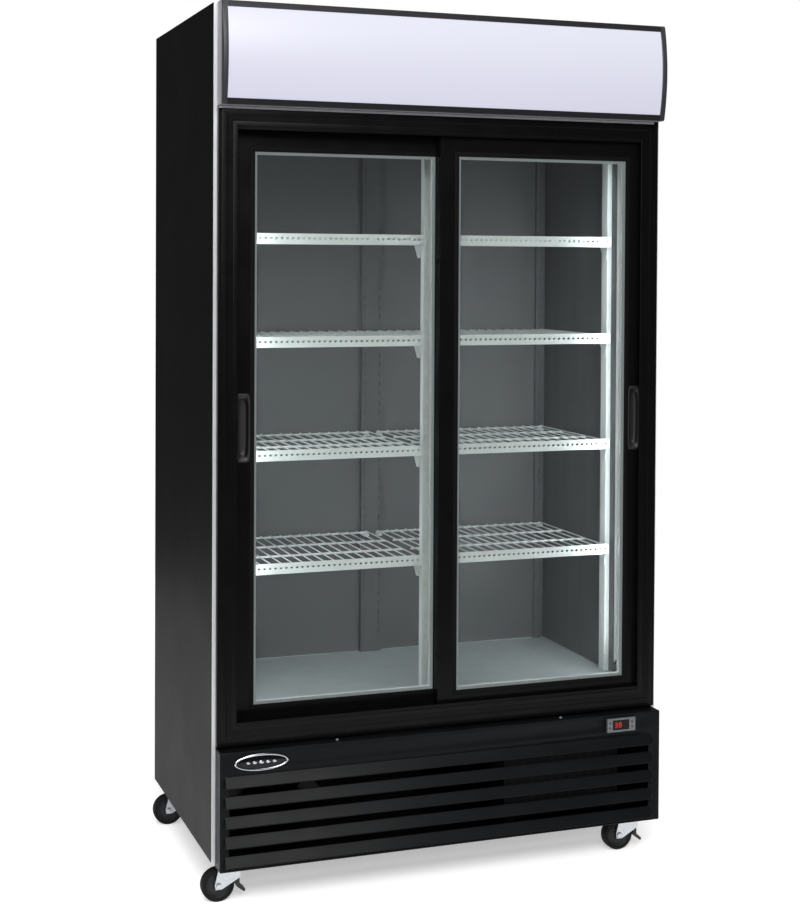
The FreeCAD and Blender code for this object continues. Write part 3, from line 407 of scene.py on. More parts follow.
def mitred(section, low, high):
    """Four loops of a frame round a rectangle in x and z: at each corner the section's inset
    is measured in from both sides, so that neighbouring bars meet on the mitre."""
    inset, depth = np.array(section, float).T
    west, east = low[0] + inset, high[0] - inset
    south, north = low[2] + inset, high[2] - inset
    ring = ((west, south), (east, south), (east, north), (west, north))
    return np.stack([np.stack((x, depth, z), -1) for x, z in ring])


def along(axis, stations, section):
    """One loop per station on an axis; the section's columns are the other two, in order."""
    grid = np.empty((len(stations), len(section), 3))
    grid[:, :, axis] = np.array(stations, float)[:, None]
    grid[:, :, [k for k in range(3) if k != axis]] = np.array(section, float)[None]
    return grid


def soft_ended(axis, low, high, section, edge):
    """A bar along an axis whose end edges are eased: the last loops shrink towards the
    section's middle by 1 - sqrt(1 - s^2) of the edge radius, s being how far into it."""
    section = np.array(section, float)
    middle = (section.min(0) + section.max(0)) / 2
    half = (section.max(0) - section.min(0)) / 2
    s = np.array([1.0, 0.75, 0.4, 0.0])
    shrink = edge * (1 - np.sqrt(1 - s ** 2))
    stations = np.concatenate((low + edge * (1 - s), high - edge * (1 - s[::-1])))
    grid = along(axis, stations, section)
    scale = 1 - np.concatenate((shrink, shrink[::-1]))[:, None, None] / half
    others = [k for k in range(3) if k != axis]
    grid[:, :, others] = middle + (grid[:, :, others] - middle) * scale
    return grid


def turned(section, centre, axis=1, steps=56):
    """Loops of a ring turned about an axis through a centre: the section gives radius and
    distance along the axis, carried round the circle."""
    angle = np.linspace(0, 2 * np.pi, steps, endpoint=False)[:, None]
    radius, offset = np.array(section, float).T
    across = [k for k in range(3) if k != axis]
    grid = np.empty((steps, len(radius), 3))
    grid[:, :, across[0]] = centre[across[0]] + np.cos(angle) * radius
    grid[:, :, across[1]] = centre[across[1]] + np.sin(angle) * radius
    grid[:, :, axis] = centre[axis] + offset
    return grid


def ovals(rows, centre, steps=64):
    """Nested upright ovals, one per row of half width, half height, depth and fullness n:
    x = a sign(cos) |cos|^(2/n) and z = b sign(sin) |sin|^(2/n) about the centre."""
    angle = np.linspace(0, 2 * np.pi, steps, endpoint=False)[None]
    a, b, depth, full = np.array(rows, float).T[:, :, None]
    c, s = np.cos(angle), np.sin(angle)
    x = centre[0] + a * np.sign(c) * np.abs(c) ** (2 / full)
    z = centre[1] + b * np.sign(s) * np.abs(s) ** (2 / full)
    return np.stack((x, depth + 0 * x, z), -1)


def skin(name, grids, ring=False, crease=32.0):
    """A mesh of closed shells. Neighbouring loops of a grid are joined point by point; with
    ring the last loop meets the first, otherwise a face closes each end."""
    points, faces, start = [], [], 0
    for grid in grids:
        loops, count = grid.shape[:2]
        row = np.arange(loops if ring else loops - 1)[:, None] * count
        ahead = (row + count) % (loops * count)
        col = np.arange(count)[None]
        beside = (col + 1) % count
        quads = np.stack((row + col, row + beside, ahead + beside, ahead + col), -1)
        faces += (quads.reshape(-1, 4) + start).tolist()
        if not ring:
            faces.append(list(range(start + count - 1, start - 1, -1)))
            faces.append(list(range(start + (loops - 1) * count, start + loops * count)))
        points.append(grid.reshape(-1, 3) / 1000)
        start += loops * count
    mesh = bpy.data.meshes.new(name)
    mesh.from_pydata(np.concatenate(points).tolist(), [], faces)
    tidy = bmesh.new()
    tidy.from_mesh(mesh)
    bmesh.ops.remove_doubles(tidy, verts=tidy.verts, dist=1e-7)
    bmesh.ops.recalc_face_normals(tidy, faces=tidy.faces)
    tidy.to_mesh(mesh)
    tidy.free()
    mesh.shade_smooth()
    mesh.set_sharp_from_angle(angle=math.radians(crease))
    return mesh


def piece(mesh, finish_name, body="cabinet", instead_of=()):
    """Put a finished mesh in the scene, riding on a body and what it replaces."""
    thing = bpy.data.objects.new(mesh.name, mesh)
    bpy.context.scene.collection.objects.link(thing)
    mesh.materials.append(finish(finish_name))
    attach(thing, body)
    if instead_of:
        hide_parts(*instead_of)
    return thing


# --- settings -----------------------------------------------------------------------------

def length(label, text, amount):
    """A length setting, in metres."""
    return FloatProperty(name=label, description=text, default=amount / 1000, unit="LENGTH",
                         precision=4)


def tint(label, text, code):
    """A colour setting, from its sRGB hex."""
    return FloatVectorProperty(name=label, description=text, default=linear(code)[:3],
                               subtype="COLOR", size=3, min=0.0, max=1.0)


class MerchandiserSizes(bpy.types.PropertyGroup):
    """Sizes of the added pieces."""
    bead_proud: length("Bead height", "How far the glazing bead stands off the door frame", 1.0)
    moulding_proud: length("Moulding height", "Step of the doorway moulding off its face", 1.3)
    grip_depth: length("Grip depth", "How deep the finger scoop goes into the stile", 12.5)
    louvre_reach: length("Louvre reach", "How far a louvre tip stands off the grille", 13)
    louvre_taper: length("Louvre taper", "Length over which a louvre rises at each end", 14)
    sign_radius: length("Sign radius", "Bow of the sign, as a radius", 414.4)
    edge: length("Edge radius", "Ease on moulded edges", 1.6)


class MerchandiserColours(bpy.types.PropertyGroup):
    """Main colours."""
    cabinet: tint("Cabinet", "Powder coat of the outer shell", "#0a0a0b")
    extrusion: tint("Frames", "Door and doorway extrusions", "#060607")
    aluminium: tint("Bright strip", "Anodised strips", "#c9cacd")
    liner: tint("Liner", "Inside walls and floor", "#5b5c5e")
    shelves: tint("Shelves", "Shelf wire, price rails and posts", "#d6dad9")
    header: tint("Sign box", "Sheet metal of the sign box", "#9d9ca1")
    sign: tint("Sign", "Opal sign face", "#94949f")


class MerchandiserStage(bpy.types.PropertyGroup):
    """Camera and light."""
    eye: FloatVectorProperty(name="Eye", description="Camera position", subtype="TRANSLATION",
                             unit="LENGTH", default=(-1.382, -3.790, 1.426))
    heading: FloatProperty(name="Heading", description="Turn from +Y towards +X",
                           default=0.3475, unit="ROTATION")
    pitch: FloatProperty(name="Pitch", description="Tilt above the level",
                         default=-0.0201, unit="ROTATION")
    roll: FloatProperty(name="Roll", description="Turn about the view line",
                        default=0.0051, unit="ROTATION")
    lens: FloatProperty(name="Lens", description="Focal length", default=64.65, unit="CAMERA")
    rise: FloatProperty(name="Shift", description="Vertical lens shift", default=-0.1716)
    floor: FloatProperty(name="Floor", description="Radius of the floor sheet", default=2.7,
                         unit="LENGTH")
    key: FloatProperty(name="Key", description="Strength of the soft overhead light",
                       default=2.0, unit="NONE")
    lamps: FloatProperty(name="Cabinet lamps", description="Power of each inside lamp",
                         default=2.1, unit="POWER")


# --- pieces -------------------------------------------------------------------------------

class ShellOperator(bpy.types.Operator):
    """Finish the outer sheets, the liner, the insulation and the bright strips"""
    bl_idname = "merchandiser.shell"
    bl_label = "Cabinet Shell"

    def execute(self, context):
        dress("cabinet_powder_coat", "left_side_panel", "right_side_panel", "top_panel",
              "base_chassis")
        dress("galvanised_steel", "back_panel")
        dress("liner_enamel", "inner_liner")
        dress("insulation_foam", "foam_insulation")
        dress("anodised_aluminium", "silver_trims")
        dress("moulded_nylon", "cord_gland")
        return {"FINISHED"}


class DoorwayOperator(bpy.types.Operator):
    """Finish the doorway and add the stepped moulding that frames it"""
    bl_idname = "merchandiser.doorway"
    bl_label = "Doorway"

    def execute(self, context):
        dress("satin_extrusion", "surround_jambs", "head_track", "sill_track")
        low, high = span("surround_jambs")
        front = low[1]
        proud = context.scene.merchandiser_sizes.moulding_proud * 1000
        # two low steps: an outer flat and an inner nose that turns into the opening
        outer = rounded([(7.5, front + 0.4), (7.5, front - proud), (21, front - proud),
                         (22.5, front + 0.4)], 0.7)
        nose = rounded([(33, front + 0.4), (34, front - proud * 0.6), (43.5, front - proud),
                        (45.3, front - proud * 0.3), (45.3, front + 2.4), (43, front + 2.4)], 0.8)
        mesh = skin("doorway_moulding", [mitred(outer, low, high), mitred(nose, low, high)],
                    ring=True)
        piece(mesh, "satin_extrusion")
        return {"FINISHED"}


class DoorsOperator(bpy.types.Operator):
    """Glazing beads, rear gaskets, moulded grips and finishes of both sliding doors"""
    bl_idname = "merchandiser.doors"
    bl_label = "Sliding Doors"

    def execute(self, context):
        sizes = context.scene.merchandiser_sizes
        proud, scoop = sizes.bead_proud * 1000, sizes.grip_depth * 1000
        for side in SIDES:
            body = side + "_door"
            dress("satin_extrusion", body + "_frame")
            dress("insulated_glass", body + "_glass")
            dress("spacer_bar", body + "_spacer")
            dress("natural_nylon", side + "_roller_outer", side + "_roller_inner")
            pane_low, pane_high = span(body + "_glass")
            low, high = pane_low + 7.5, pane_high - 7.5
            front, back = span(body + "_frame")[0][1], span(body + "_frame")[1][1]
            # bead: a sloping lip from the stile down onto the glass
            bead = rounded([(-11, front + 0.3), (-10.4, front - proud * 0.5),
                            (-4, front - proud), (-0.4, front - proud * 0.4),
                            (0.6, front + 1.9), (-1, front + 1.9), (-1, front + 0.3)], 0.7)
            gasket = rounded([(-9, back - 0.3), (-9, back + 0.9), (-1, back + 0.9),
                              (1.8, back - 1.9), (-1, back - 1.9)], 0.6)
            mesh = skin(side + "_glazing_beads",
                        [mitred(bead, low, high), mitred(gasket, low, high)], ring=True)
            piece(mesh, "glazing_rubber", body)

            rim_low, rim_high = span(body + "_handle")
            middle = (rim_low + rim_high) / 2
            a, b = (rim_high[0] - rim_low[0]) / 2, (rim_high[2] - rim_low[2]) / 2
            face = front - 2
            rows = [(a - 2.4, b - 2.4, front + 14.5, 9), (a - 2.4, b - 2.4, front + 0.2, 9),
                    (a - 0.2, b - 0.2, front + 0.1, 8), (a, b, face + 1.2, 8),
                    (a - 0.4, b - 0.4, face + 0.4, 8), (a - 1.3, b - 1.3, face, 7),
                    (a - 3.0, b - 3.4, face + 0.1, 6), (a - 4.0, b - 6.0, face + 0.9, 5),
                    (a - 4.9, b - 10, face + 3.0, 4.5),
                    (a - 5.6, b - 13, face + scoop * 0.55, 4),
                    (a - 6.6, b - 16, face + scoop * 0.88, 4),
                    (a - 8.6, b - 20, face + scoop, 3.5), (a - 12.5, b - 32, face + scoop + 0.3, 3)]
            grip = skin(side + "_door_grip", [ovals(rows, (middle[0], middle[2]))], crease=38)
            piece(grip, "moulded_nylon", body,
                  instead_of=(body + "_handle",))
        return {"FINISHED"}


class HeaderOperator(bpy.types.Operator):
    """Bowed lit sign between its rails and end caps, on the sheet metal box"""
    bl_idname = "merchandiser.header"
    bl_label = "Sign Box"

    def execute(self, context):
        dress("header_enamel", "header_housing")
        radius = context.scene.merchandiser_sizes.sign_radius * 1000
        ease = context.scene.merchandiser_sizes.edge * 1000
        low, high = span("sign_panel")
        box_low, box_high = span("header_housing")
        middle = (box_low[2] + box_high[2]) / 2
        axis = low[1] + radius

        def arc(bottom, top, proud, steps=22):
            """Front line of the bow: y = axis - sqrt(R^2 - (z - middle)^2), rising in z."""
            z = np.linspace(bottom, top, steps)
            y = axis - np.sqrt((radius + proud) ** 2 - (z - middle) ** 2)
            return np.stack((y, z), -1)

        front, rear = arc(low[2], high[2], 0), arc(low[2], high[2], -3)[::-1]
        sign = skin("sign_face", [along(0, [low[0], 0, high[0]], np.concatenate((front, rear)))])
        piece(sign, "opal_acrylic", instead_of=("sign_panel",))

        back = box_low[1]
        bars = []
        for bottom, top in ((box_low[2], low[2]), (high[2], box_high[2])):
            nose = arc(bottom + 0.8, top - 0.8, 1.5, 7)
            outline = np.concatenate(([(back, bottom), (nose[0][0] + 0.8, bottom)], nose,
                                      [(nose[-1][0] + 0.8, top), (back, top)]))
            bars.append(along(0, [low[0], 0, high[0]], outline))
        piece(skin("sign_rails", bars), "header_rail",
              instead_of=("header_frame",))

        caps = []
        frame_low, frame_high = box_low[0], box_high[0]
        nose = arc(box_low[2] + ease, box_high[2] - ease, 3, 26)
        outline = np.concatenate(([(back, box_low[2]), (nose[0][0] + ease, box_low[2])], nose,
                                  [(nose[-1][0] + ease, box_high[2]), (back, box_high[2])]))
        caps.append(soft_ended(0, frame_low, low[0], outline, ease))
        caps.append(soft_ended(0, high[0], frame_high, outline, ease))
        piece(skin("sign_end_caps", caps), "cap_plastic")
        return {"FINISHED"}


class GrilleOperator(bpy.types.Operator):
    """Folded grille tray with five stamped louvres and two screws"""
    bl_idname = "merchandiser.grille"
    bl_label = "Front Grille"

    def execute(self, context):
        sizes = context.scene.merchandiser_sizes
        reach, taper = sizes.louvre_reach * 1000, sizes.louvre_taper * 1000
        sharp = taper / 3
        low, high = span("front_grille")
        front, back = low[1] + 13, high[1]
        case_low, case_high = span("controller_case")
        blade_left, blade_right = -535.0, 526.0
        tops = 303.0 - 44.0 * np.arange(5)

        # the flat blank, folded back at its four sides: u and v run across it, x and z are u
        # and v held inside the face, and whatever is left over goes back from the face
        fold = back - front
        u = np.array([low[0] - fold, low[0], blade_left + taper, case_low[0] + 4,
                      case_high[0] - 4, blade_right - taper, high[0], high[0] + fold])
        v = np.array([low[2] - fold, low[2], 100, 303, case_low[2] + 4, case_high[2] - 4,
                      high[2], high[2] + fold])
        x, z = np.clip(u, low[0], high[0]), np.clip(v, low[2], high[2])
        depth = front + np.maximum(np.abs(u - x)[:, None], np.abs(v - z)[None])
        grid = np.stack(np.broadcast_arrays(x[:, None], depth, z[None]), -1)
        across, up = (u[1:] + u[:-1]) / 2, (v[1:] + v[:-1]) / 2
        past = ((across < low[0]) | (across > high[0]))[:, None] \
            & ((up < low[2]) | (up > high[2]))[None]
        window = ((across > u[2]) & (across < u[5]))[:, None] & ((up > 100) & (up < 303))[None]
        control = ((across > u[3]) & (across < u[4]))[:, None] & ((up > v[4]) & (up < v[5]))[None]
        i, j = np.nonzero(~(past | window | control))
        n = len(v)
        quads = np.stack((i * n + j, (i + 1) * n + j, (i + 1) * n + j + 1, i * n + j + 1), -1)
        mesh = bpy.data.meshes.new("grille_tray")
        mesh.from_pydata((grid.reshape(-1, 3) / 1000).tolist(), [], quads.tolist())
        tidy = bmesh.new()
        tidy.from_mesh(mesh)
        bmesh.ops.delete(tidy, geom=[p for p in tidy.verts if not p.link_faces],
                         context="VERTS")
        bmesh.ops.remove_doubles(tidy, verts=tidy.verts, dist=1e-6)
        tidy.to_mesh(mesh)
        tidy.free()
        tray = piece(mesh, "grille_powder_coat",
                     instead_of=("front_grille",))
        bend = tray.modifiers.new("bend", "BEVEL")
        bend.width, bend.segments, bend.limit_method = 0.0022, 3, "ANGLE"
        bend.angle_limit = math.radians(40)
        sheet = tray.modifiers.new("sheet", "SOLIDIFY")
        sheet.thickness, sheet.offset = 0.0014, -1.0
        mesh.shade_smooth()
        mesh.set_sharp_from_angle(angle=math.radians(50))

        # a louvre: section carried along x while its reach and its top rise from nothing with
        # s = smoothstep of how far a point is up the ramp at its end; the left ramp is short
        run = np.linspace(0, 1, 13)
        stations = np.concatenate((blade_left + sharp * run, [0.0],
                                   blade_right - taper * run[::-1]))
        t = np.clip(np.minimum((stations - blade_left) / sharp,
                               (blade_right - stations) / taper), 0, 1)
        s = (t * t * (3 - 2 * t))[:, None]
        outline = rounded([(0, 0), (-reach, -22.4), (-reach + 0.4, -24.2), (-reach + 1.6, -23.6),
                           (1.6, -3.0), (1.6, 0.6)], 0.9)
        blades = []
        for top in tops:
            y = front + outline[:, 0] * np.where(outline[:, 0] < 0, 0.04 + 0.96 * s, 1.0)
            drop = outline[:, 1]
            z = top + drop * (0.45 + 0.55 * s) - 14.4 * (1 - s)
            line = np.broadcast_to(stations[:, None], y.shape)
            blades.append(np.stack((line, y, z), -1))
        piece(skin("grille_louvres", blades, crease=40), "grille_powder_coat")

        # pan head with a cross recess: height is a dome in radius, less a groove wherever
        # the point is near one of the two arms
        heads = []
        seat_low, seat_high = span("panel_screws")
        for place in (seat_low[0] + 4, seat_high[0] - 4):
            radius = np.array([4.0, 4.0, 3.8, 3.2, 2.4, 1.9, 1.4, 0.9, 0.4])[:, None]
            angle = np.linspace(0, 2 * np.pi, 48, endpoint=False)[None]
            rx, ry = radius * np.cos(angle), radius * np.sin(angle)
            height = seat_low[2] + 2.2 - 0.9 * (radius / 4) ** 4 + 0 * angle
            groove = np.clip(1.6 - 3.2 * np.minimum(np.abs(rx), np.abs(ry)), 0, 1)
            height = height - 0.9 * groove * (radius < 2.2)
            height[0] = seat_low[2]
            heads.append(np.stack((place + rx, (seat_low[1] + seat_high[1]) / 2 + ry,
                                   height), -1))
        piece(skin("grille_screws", heads), "zinc_plate",
              instead_of=("panel_screws",))
        return {"FINISHED"}


class ControllerOperator(bpy.types.Operator):
    """Thermostat: raised rims, window, red digits and four domed buttons"""
    bl_idname = "merchandiser.controller"
    bl_label = "Thermostat"

    def execute(self, context):
        dress("controller_abs", "controller_case")
        dress("smoked_window", "controller_window")
        case_low, case_high = span("controller_case")
        low, high = span("controller_window")
        face = case_low[1]
        rim = rounded([(0, face + 3), (0, face - 1.0), (2.2, face - 1.0), (2.6, face + 0.2),
                       (1, face + 0.2), (1, face + 3)], 0.5)
        inner = rounded([(-1.6, face + 0.2), (-1.3, face - 0.7), (-0.1, face - 0.7),
                         (0.3, face + 0.6), (-1, face + 0.6)], 0.3)
        mesh = skin("thermostat_rims", [mitred(rim, case_low, case_high),
                                        mitred(inner, low, high)], ring=True)
        piece(mesh, "controller_abs")

        # seven bars to a figure, each by its centre and direction in a 6 by 11 field
        across, tall, thick = 6.0, 11.0, 1.3
        bars = {"top": (0, tall / 2, 0), "middle": (0, 0, 0), "bottom": (0, -tall / 2, 0),
                "high_left": (-across / 2, tall / 4, 1), "high_right": (across / 2, tall / 4, 1),
                "low_left": (-across / 2, -tall / 4, 1), "low_right": (across / 2, -tall / 4, 1)}
        three = ("top", "middle", "bottom", "high_right", "low_right")
        eight = tuple(bars)
        strokes = []
        for place, figure in ((low[0] + 9, three), (low[0] + 20, eight)):
            for name in figure:
                x, z, upright = bars[name]
                run = (tall / 2 if upright else across) / 2 - 0.5
                point = thick / 2
                shape = np.array([(-run, 0), (-run + point, -point), (run - point, -point),
                                  (run, 0), (run - point, point), (-run + point, point)])
                if upright:
                    shape = shape[:, ::-1]
                strokes.append(along(1, [low[1] - 0.25, low[1] + 0.3],
                                     shape + (place + x, (low[2] + high[2]) / 2 + z)))
        piece(skin("display_figures", strokes), "lit_segment")

        for name in ("up", "down", "set", "light"):
            node = "button_" + name
            key_low, key_high = span(node)
            middle = (key_low + key_high) / 2
            radius = (key_high[0] - key_low[0]) / 2
            tip, root = key_low[1], key_high[1]
            rows = [(radius, radius, root, 2), (radius, radius, tip + 0.9, 2),
                    (radius * 0.94, radius * 0.94, tip + 0.4, 2),
                    (radius * 0.7, radius * 0.7, tip + 0.1, 2),
                    (radius * 0.35, radius * 0.35, tip, 2)]
            cap = skin(node + "_cap", [ovals(rows, (middle[0], middle[2]), 32)])
            piece(cap, "button_rubber", node, instead_of=(node,))
        return {"FINISHED"}


class BadgeOperator(bpy.types.Operator):
    """Oval badge: chromed rim, domed black field and a plain row of studs, no lettering"""
    bl_idname = "merchandiser.badge"
    bl_label = "Badge"

    def execute(self, context):
        low, high = span("badge")
        middle = (low + high) / 2
        a, b = (high[0] - low[0]) / 2, (high[2] - low[2]) / 2
        back, front = high[1], low[1]
        wide = rounded([(0, back), (-0.4, front + 1.1), (-2.6, front), (-5.0, front + 0.9),
                        (-5.4, back)], 0.9)
        angle = np.linspace(0, 2 * np.pi, 96, endpoint=False)[:, None]
        # the rim's section is set off inwards from the oval all round
        rim = np.stack((middle[0] + np.cos(angle) * (a + wide[:, 0]),
                        np.broadcast_to(wide[:, 1], (96, len(wide))),
                        middle[2] + np.sin(angle) * (b + wide[:, 0])), -1)
        piece(skin("badge_rim", [rim], ring=True), "chrome_plate",
              instead_of=("badge",))
        share = np.array([1.0, 1.0, 0.97, 0.85, 0.65, 0.4, 0.12])
        depth = np.array([back, back - 1.2, back - 1.5, back - 1.9, back - 2.3, back - 2.6,
                          back - 2.7])
        rows = np.stack((share * (a - 5.2), share * (b - 5.2), depth, 2 + 0 * share), -1)
        piece(skin("badge_field", [ovals(rows, (middle[0], middle[2]), 72)]), "badge_enamel")
        studs = []
        for step in (-2, -1, 0, 1, 2):
            wide, tall = 5.6 - 0.5 * abs(step), 3.4 - 0.3 * abs(step)
            rows = [(wide, tall, back - 1.0, 1.6), (wide, tall, back - 2.9, 1.6),
                    (wide * 0.8, tall * 0.8, back - 3.4, 1.6),
                    (wide * 0.3, tall * 0.3, back - 3.5, 1.6)]
            studs.append(ovals(rows, (middle[0] + 15.0 * step, middle[2]), 32))
        piece(skin("badge_studs", studs), "chrome_plate")
        return {"FINISHED"}


class ShelvingOperator(bpy.types.Operator):
    """Finish the shelves, their price rails, brackets, standards and the lamps"""
    bl_idname = "merchandiser.shelving"
    bl_label = "Shelving and Lamps"

    def execute(self, context):
        dress("post_enamel", "pilasters")
        dress("shelf_epoxy", "shelves", "shelf_rails", "shelf_brackets")
        dress("lamp_diffuser", "led_lamps")
        low, high = span("led_lamps")
        # moulded holders that clip each upright lamp at its two ends
        holders = []
        for x in (low[0] + 7, high[0] - 7):
            for z in (450.0, 1700.0):
                rim = [(4, -6), (9.6, -6), (9.6, 6), (4, 6)]
                holders.append(turned(rounded(rim, 1.2), (x, -205.0, z), axis=2, steps=28))
        piece(skin("lamp_holders", holders, ring=True), "moulded_nylon")
        return {"FINISHED"}


class CoolingOperator(bpy.types.Operator):
    """Finish the evaporator, condenser, compressor, fans and motors"""
    bl_idname = "merchandiser.cooling"
    bl_label = "Cooling Unit"

    def execute(self, context):
        dress("liner_enamel", "evaporator_cover")
        dress("finned_coil", "evaporator_coil", "condenser")
        dress("compressor_enamel", "compressor", "fan_motors")
        dress("fan_plastic", "evaporator_fan_left", "evaporator_fan_right", "condenser_fan")
        return {"FINISHED"}


class CastersOperator(bpy.types.Operator):
    """Tyres, hubs, nuts, races and pedals of the four casters"""
    bl_idname = "merchandiser.casters"
    bl_label = "Casters"

    def execute(self, context):
        dress("zinc_plate", "caster_plates")
        for place in CASTERS:
            name = "caster_" + place
            dress("zinc_plate", name + "_fork")
            low, high = span(name + "_wheel")
            middle = (low + high) / 2
            r, half = (high[2] - low[2]) / 2, 12.0
            # tread crowned by half a millimetre, with soft shoulders and a raised side bead
            tyre = rounded([(r - 0.5, -half + 1), (r, 0), (r - 0.5, half - 1),
                            (r - 2.5, half), (r - 7.5, half - 0.6), (r - 8.6, half - 2.4),
                            (r - 8.6, 2 - half), (r - 7.5, 0.6 - half), (r - 2.5, -half)], 1.1)
            piece(skin(name + "_tyre", [turned(tyre, middle)], ring=True), "tyre_rubber",
                  name + "_wheel", instead_of=(name + "_wheel",))
            hub = rounded([(4.2, -13), (10.5, -13), (11.5, -9.5), (19, -7.5), (24.5, -8.5),
                           (26.5, -11.2), (r - 8.9, -11), (r - 8.9, 11), (26.5, 11.2),
                           (24.5, 8.5), (19, 7.5), (11.5, 9.5), (10.5, 13), (4.2, 13)], 0.9)
            piece(skin(name + "_hub", [turned(hub, middle, steps=48)], ring=True),
                  "hub_polypropylene", name + "_wheel")

            # hexagon nuts on the axle ends and the ball race under the plate
            nuts = []
            for side in (-1, 1):
                angle = np.arange(6) * np.pi / 3
                hexagon = np.stack((middle[0] + 7 * np.cos(angle),
                                    middle[2] + 7 * np.sin(angle)), -1)
                inner, outer = middle[1] + side * 16.6, middle[1] + side * 20.4
                nuts.append(soft_ended(1, min(inner, outer), max(inner, outer), hexagon, 0.7))
            piece(skin(name + "_nuts", nuts), "zinc_plate", name + "_fork")
            pivot = np.array((middle[0] + CASTER_TRAIL, middle[1], 0.0))
            race = rounded([(25, 84.5), (28.8, 86), (31, 90), (31, 93), (29, 96.2), (25, 96.2)],
                           1.6)
            piece(skin(name + "_race", [turned(race, pivot, axis=2, steps=48)], ring=True),
                  "zinc_plate", name + "_fork")
            if place.startswith("front"):
                plan = np.array([(11, 62), (21, 62), (22, 34), (36, 22), (33, 16), (15, 30),
                                 (12, 50)], float)
                lever = rounded(plan + (middle[0] + CASTER_TRAIL, 0), 2.6)
                low, high = span(name + "_pedal")
                mesh = skin(name + "_lever", [soft_ended(1, low[1], high[1], lever, 1.0)])
                piece(mesh, "moulded_nylon", name + "_pedal",
                      instead_of=(name + "_pedal",))
        return {"FINISHED"}


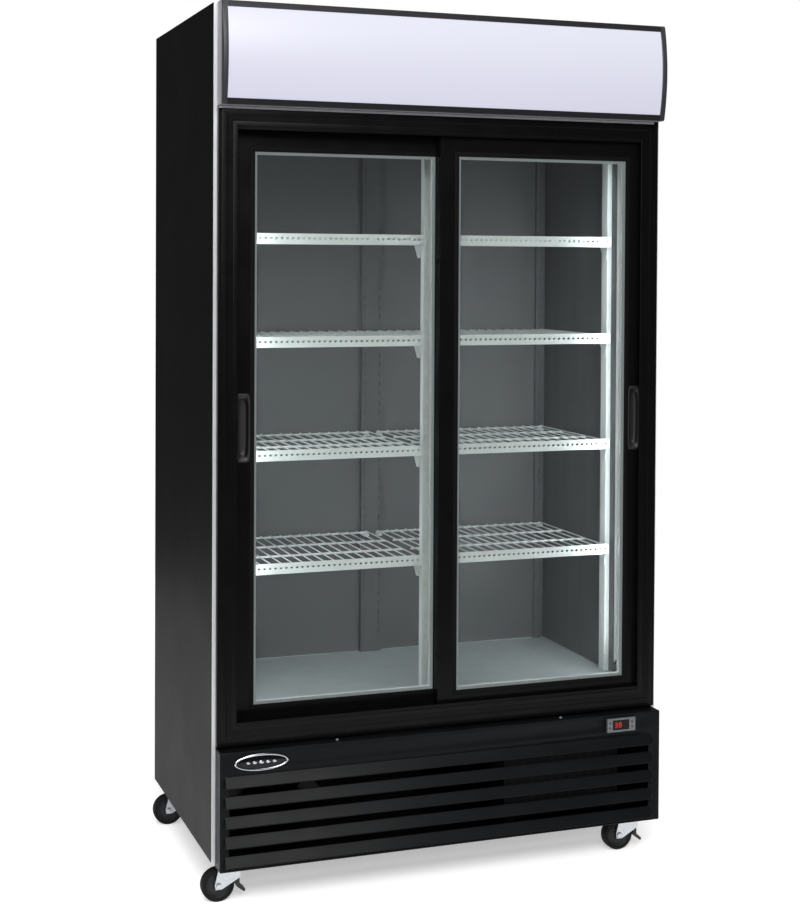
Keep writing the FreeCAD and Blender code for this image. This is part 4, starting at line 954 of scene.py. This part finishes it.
class StageOperator(bpy.types.Operator):
    """Pale floor, soft studio light, the cabinet's own lamps and the camera"""
    bl_idname = "merchandiser.stage"
    bl_label = "Stage"

    def execute(self, context):
        scene = context.scene
        stage = scene.merchandiser_stage
        scene.view_settings.view_transform = "Standard"

        world = bpy.data.worlds.new("pale_studio")
        scene.world = world
        world.use_nodes = True
        tree = world.node_tree
        tree.nodes.clear()
        path = add(tree, "ShaderNodeLightPath")
        # white where it is seen directly, a dim surround for everything it lights
        seen = add(tree, "ShaderNodeBackground", {"Color": (1, 1, 1, 1), "Strength": 1.0})
        fill = add(tree, "ShaderNodeBackground", {"Color": (1, 1, 1, 1), "Strength": 0.14})
        mix = add(tree, "ShaderNodeMixShader", None, {
            0: path.outputs["Is Camera Ray"], 1: fill.outputs[0], 2: seen.outputs[0]})
        add(tree, "ShaderNodeOutputWorld", None, {"Surface": mix.outputs[0]})

        # a round sheet of paper, white enough that its rim is lost against the backdrop
        turn = np.linspace(0, 2 * np.pi, 96, endpoint=False)
        # set back, so that the doors' glass doesn't mirror it
        rim = np.stack((np.cos(turn), np.sin(turn), 0 * turn), -1) * stage.floor
        rim += (0.3, 0.9, 0.0)
        mesh = bpy.data.meshes.new("studio_floor")
        mesh.from_pydata(rim.tolist(), [], [list(range(96))])
        floor = bpy.data.objects.new("studio_floor", mesh)
        scene.collection.objects.link(floor)
        material, tree, shader, place = surface("studio_paper", "#f4f4f4", 0.95,
                                                Specular_IOR_Level=0.1, Emission_Strength=0.45)
        shader.inputs["Emission Color"].default_value = (1, 1, 1, 1)
        mesh.materials.append(material)

        def lamp(name, kind, power, place, towards, **settings):
            """A light at a place, aimed at a point."""
            data = bpy.data.lights.new(name, kind)
            data.energy = power
            for key, amount in settings.items():
                setattr(data, key, amount)
            item = bpy.data.objects.new(name, data)
            scene.collection.objects.link(item)
            item.location = place
            aim = Vector(towards) - Vector(place)
            item.rotation_mode = "QUATERNION"
            item.rotation_quaternion = aim.to_track_quat("-Z", "Y")
            return item

        lamp("overhead", "SUN", stage.key, (-2, -4, 8), (0, 0, 0.6), angle=1.1)
        lamp("front_soft", "AREA", 60, (-3.2, -5.5, 3.0), (0, 0, 1.0), shape="RECTANGLE",
             size=3.0, size_y=2.5)
        # a soft box in front and above, which the sloped louvres mirror
        lamp("louvre_soft", "AREA", 165, (-0.9, -4.3, 3.4), (-0.1, -0.3, 0.25),
             shape="RECTANGLE", size=2.6, size_y=1.6)
        # inside lamps: the cabinet's two upright lamps
        for side in (-1, 1):
            tube = lamp("cabinet_lamp_%s" % SIDES[(side + 1) // 2], "AREA", stage.lamps,
                        (side * 0.474, -0.196, 1.07), (side * -0.2, 0.25, 1.07),
                        shape="RECTANGLE", size=1.2, size_y=0.02, color=(0.92, 0.97, 1.0))
            tube.rotation_quaternion = (Vector((side * -0.68, 0.45, 0)).to_track_quat("-Z", "X"))
            tube.visible_camera = False

        data = bpy.data.cameras.new("studio_camera")
        data.lens, data.shift_x, data.shift_y = stage.lens, 0.0, stage.rise
        data.sensor_width = 36.0
        data.clip_start, data.clip_end = 0.05, 200.0
        camera = bpy.data.objects.new("studio_camera", data)
        scene.collection.objects.link(camera)
        yaw, pitch, roll = stage.heading, stage.pitch, stage.roll
        ahead = Vector((math.sin(yaw) * math.cos(pitch), math.cos(yaw) * math.cos(pitch),
                        math.sin(pitch)))
        beside = Vector((math.cos(yaw), -math.sin(yaw), 0))
        above = beside.cross(ahead)
        x_axis = math.cos(roll) * beside + math.sin(roll) * above
        y_axis = -math.sin(roll) * beside + math.cos(roll) * above
        turn = Matrix((x_axis, y_axis, -ahead)).transposed().to_4x4()
        camera.matrix_world = Matrix.Translation(stage.eye) @ turn
        scene.camera = camera
        return {"FINISHED"}


OPERATORS = (ShellOperator, DoorwayOperator, DoorsOperator, HeaderOperator, GrilleOperator,
             ControllerOperator, BadgeOperator, ShelvingOperator, CoolingOperator,
             CastersOperator, StageOperator)


class MerchandiserPanel(bpy.types.Panel):
    """Lists the cabinet's pieces and their settings."""
    bl_idname = "VIEW3D_PT_merchandiser"
    bl_label = "Merchandiser"
    bl_space_type = "VIEW_3D"
    bl_region_type = "UI"
    bl_category = "Merchandiser"

    def draw(self, context):
        column = self.layout.column()
        for operator in OPERATORS:
            column.operator(operator.bl_idname)
        for group in ("merchandiser_sizes", "merchandiser_colours", "merchandiser_stage"):
            settings = getattr(context.scene, group)
            for key in settings.bl_rna.properties.keys():
                if key not in ("rna_type", "name"):
                    column.prop(settings, key)


CLASSES = (MerchandiserSizes, MerchandiserColours, MerchandiserStage, *OPERATORS,
           MerchandiserPanel)


def register():
    """Register the classes and hang the settings on the scene."""
    for cls in CLASSES:
        bpy.utils.register_class(cls)
    bpy.types.Scene.merchandiser_sizes = PointerProperty(type=MerchandiserSizes)
    bpy.types.Scene.merchandiser_colours = PointerProperty(type=MerchandiserColours)
    bpy.types.Scene.merchandiser_stage = PointerProperty(type=MerchandiserStage)


def unregister():
    """Undo register."""
    for name in ("merchandiser_sizes", "merchandiser_colours", "merchandiser_stage"):
        delattr(bpy.types.Scene, name)
    for cls in reversed(CLASSES):
        bpy.utils.unregister_class(cls)


def main():
    register()
    for operator in OPERATORS:
        group, name = operator.bl_idname.split(".")
        result = getattr(getattr(bpy.ops, group), name)()
        if result != {"FINISHED"}:
            raise RuntimeError("%s did not finish" % operator.bl_idname)


if __name__ == "__main__":
    main()
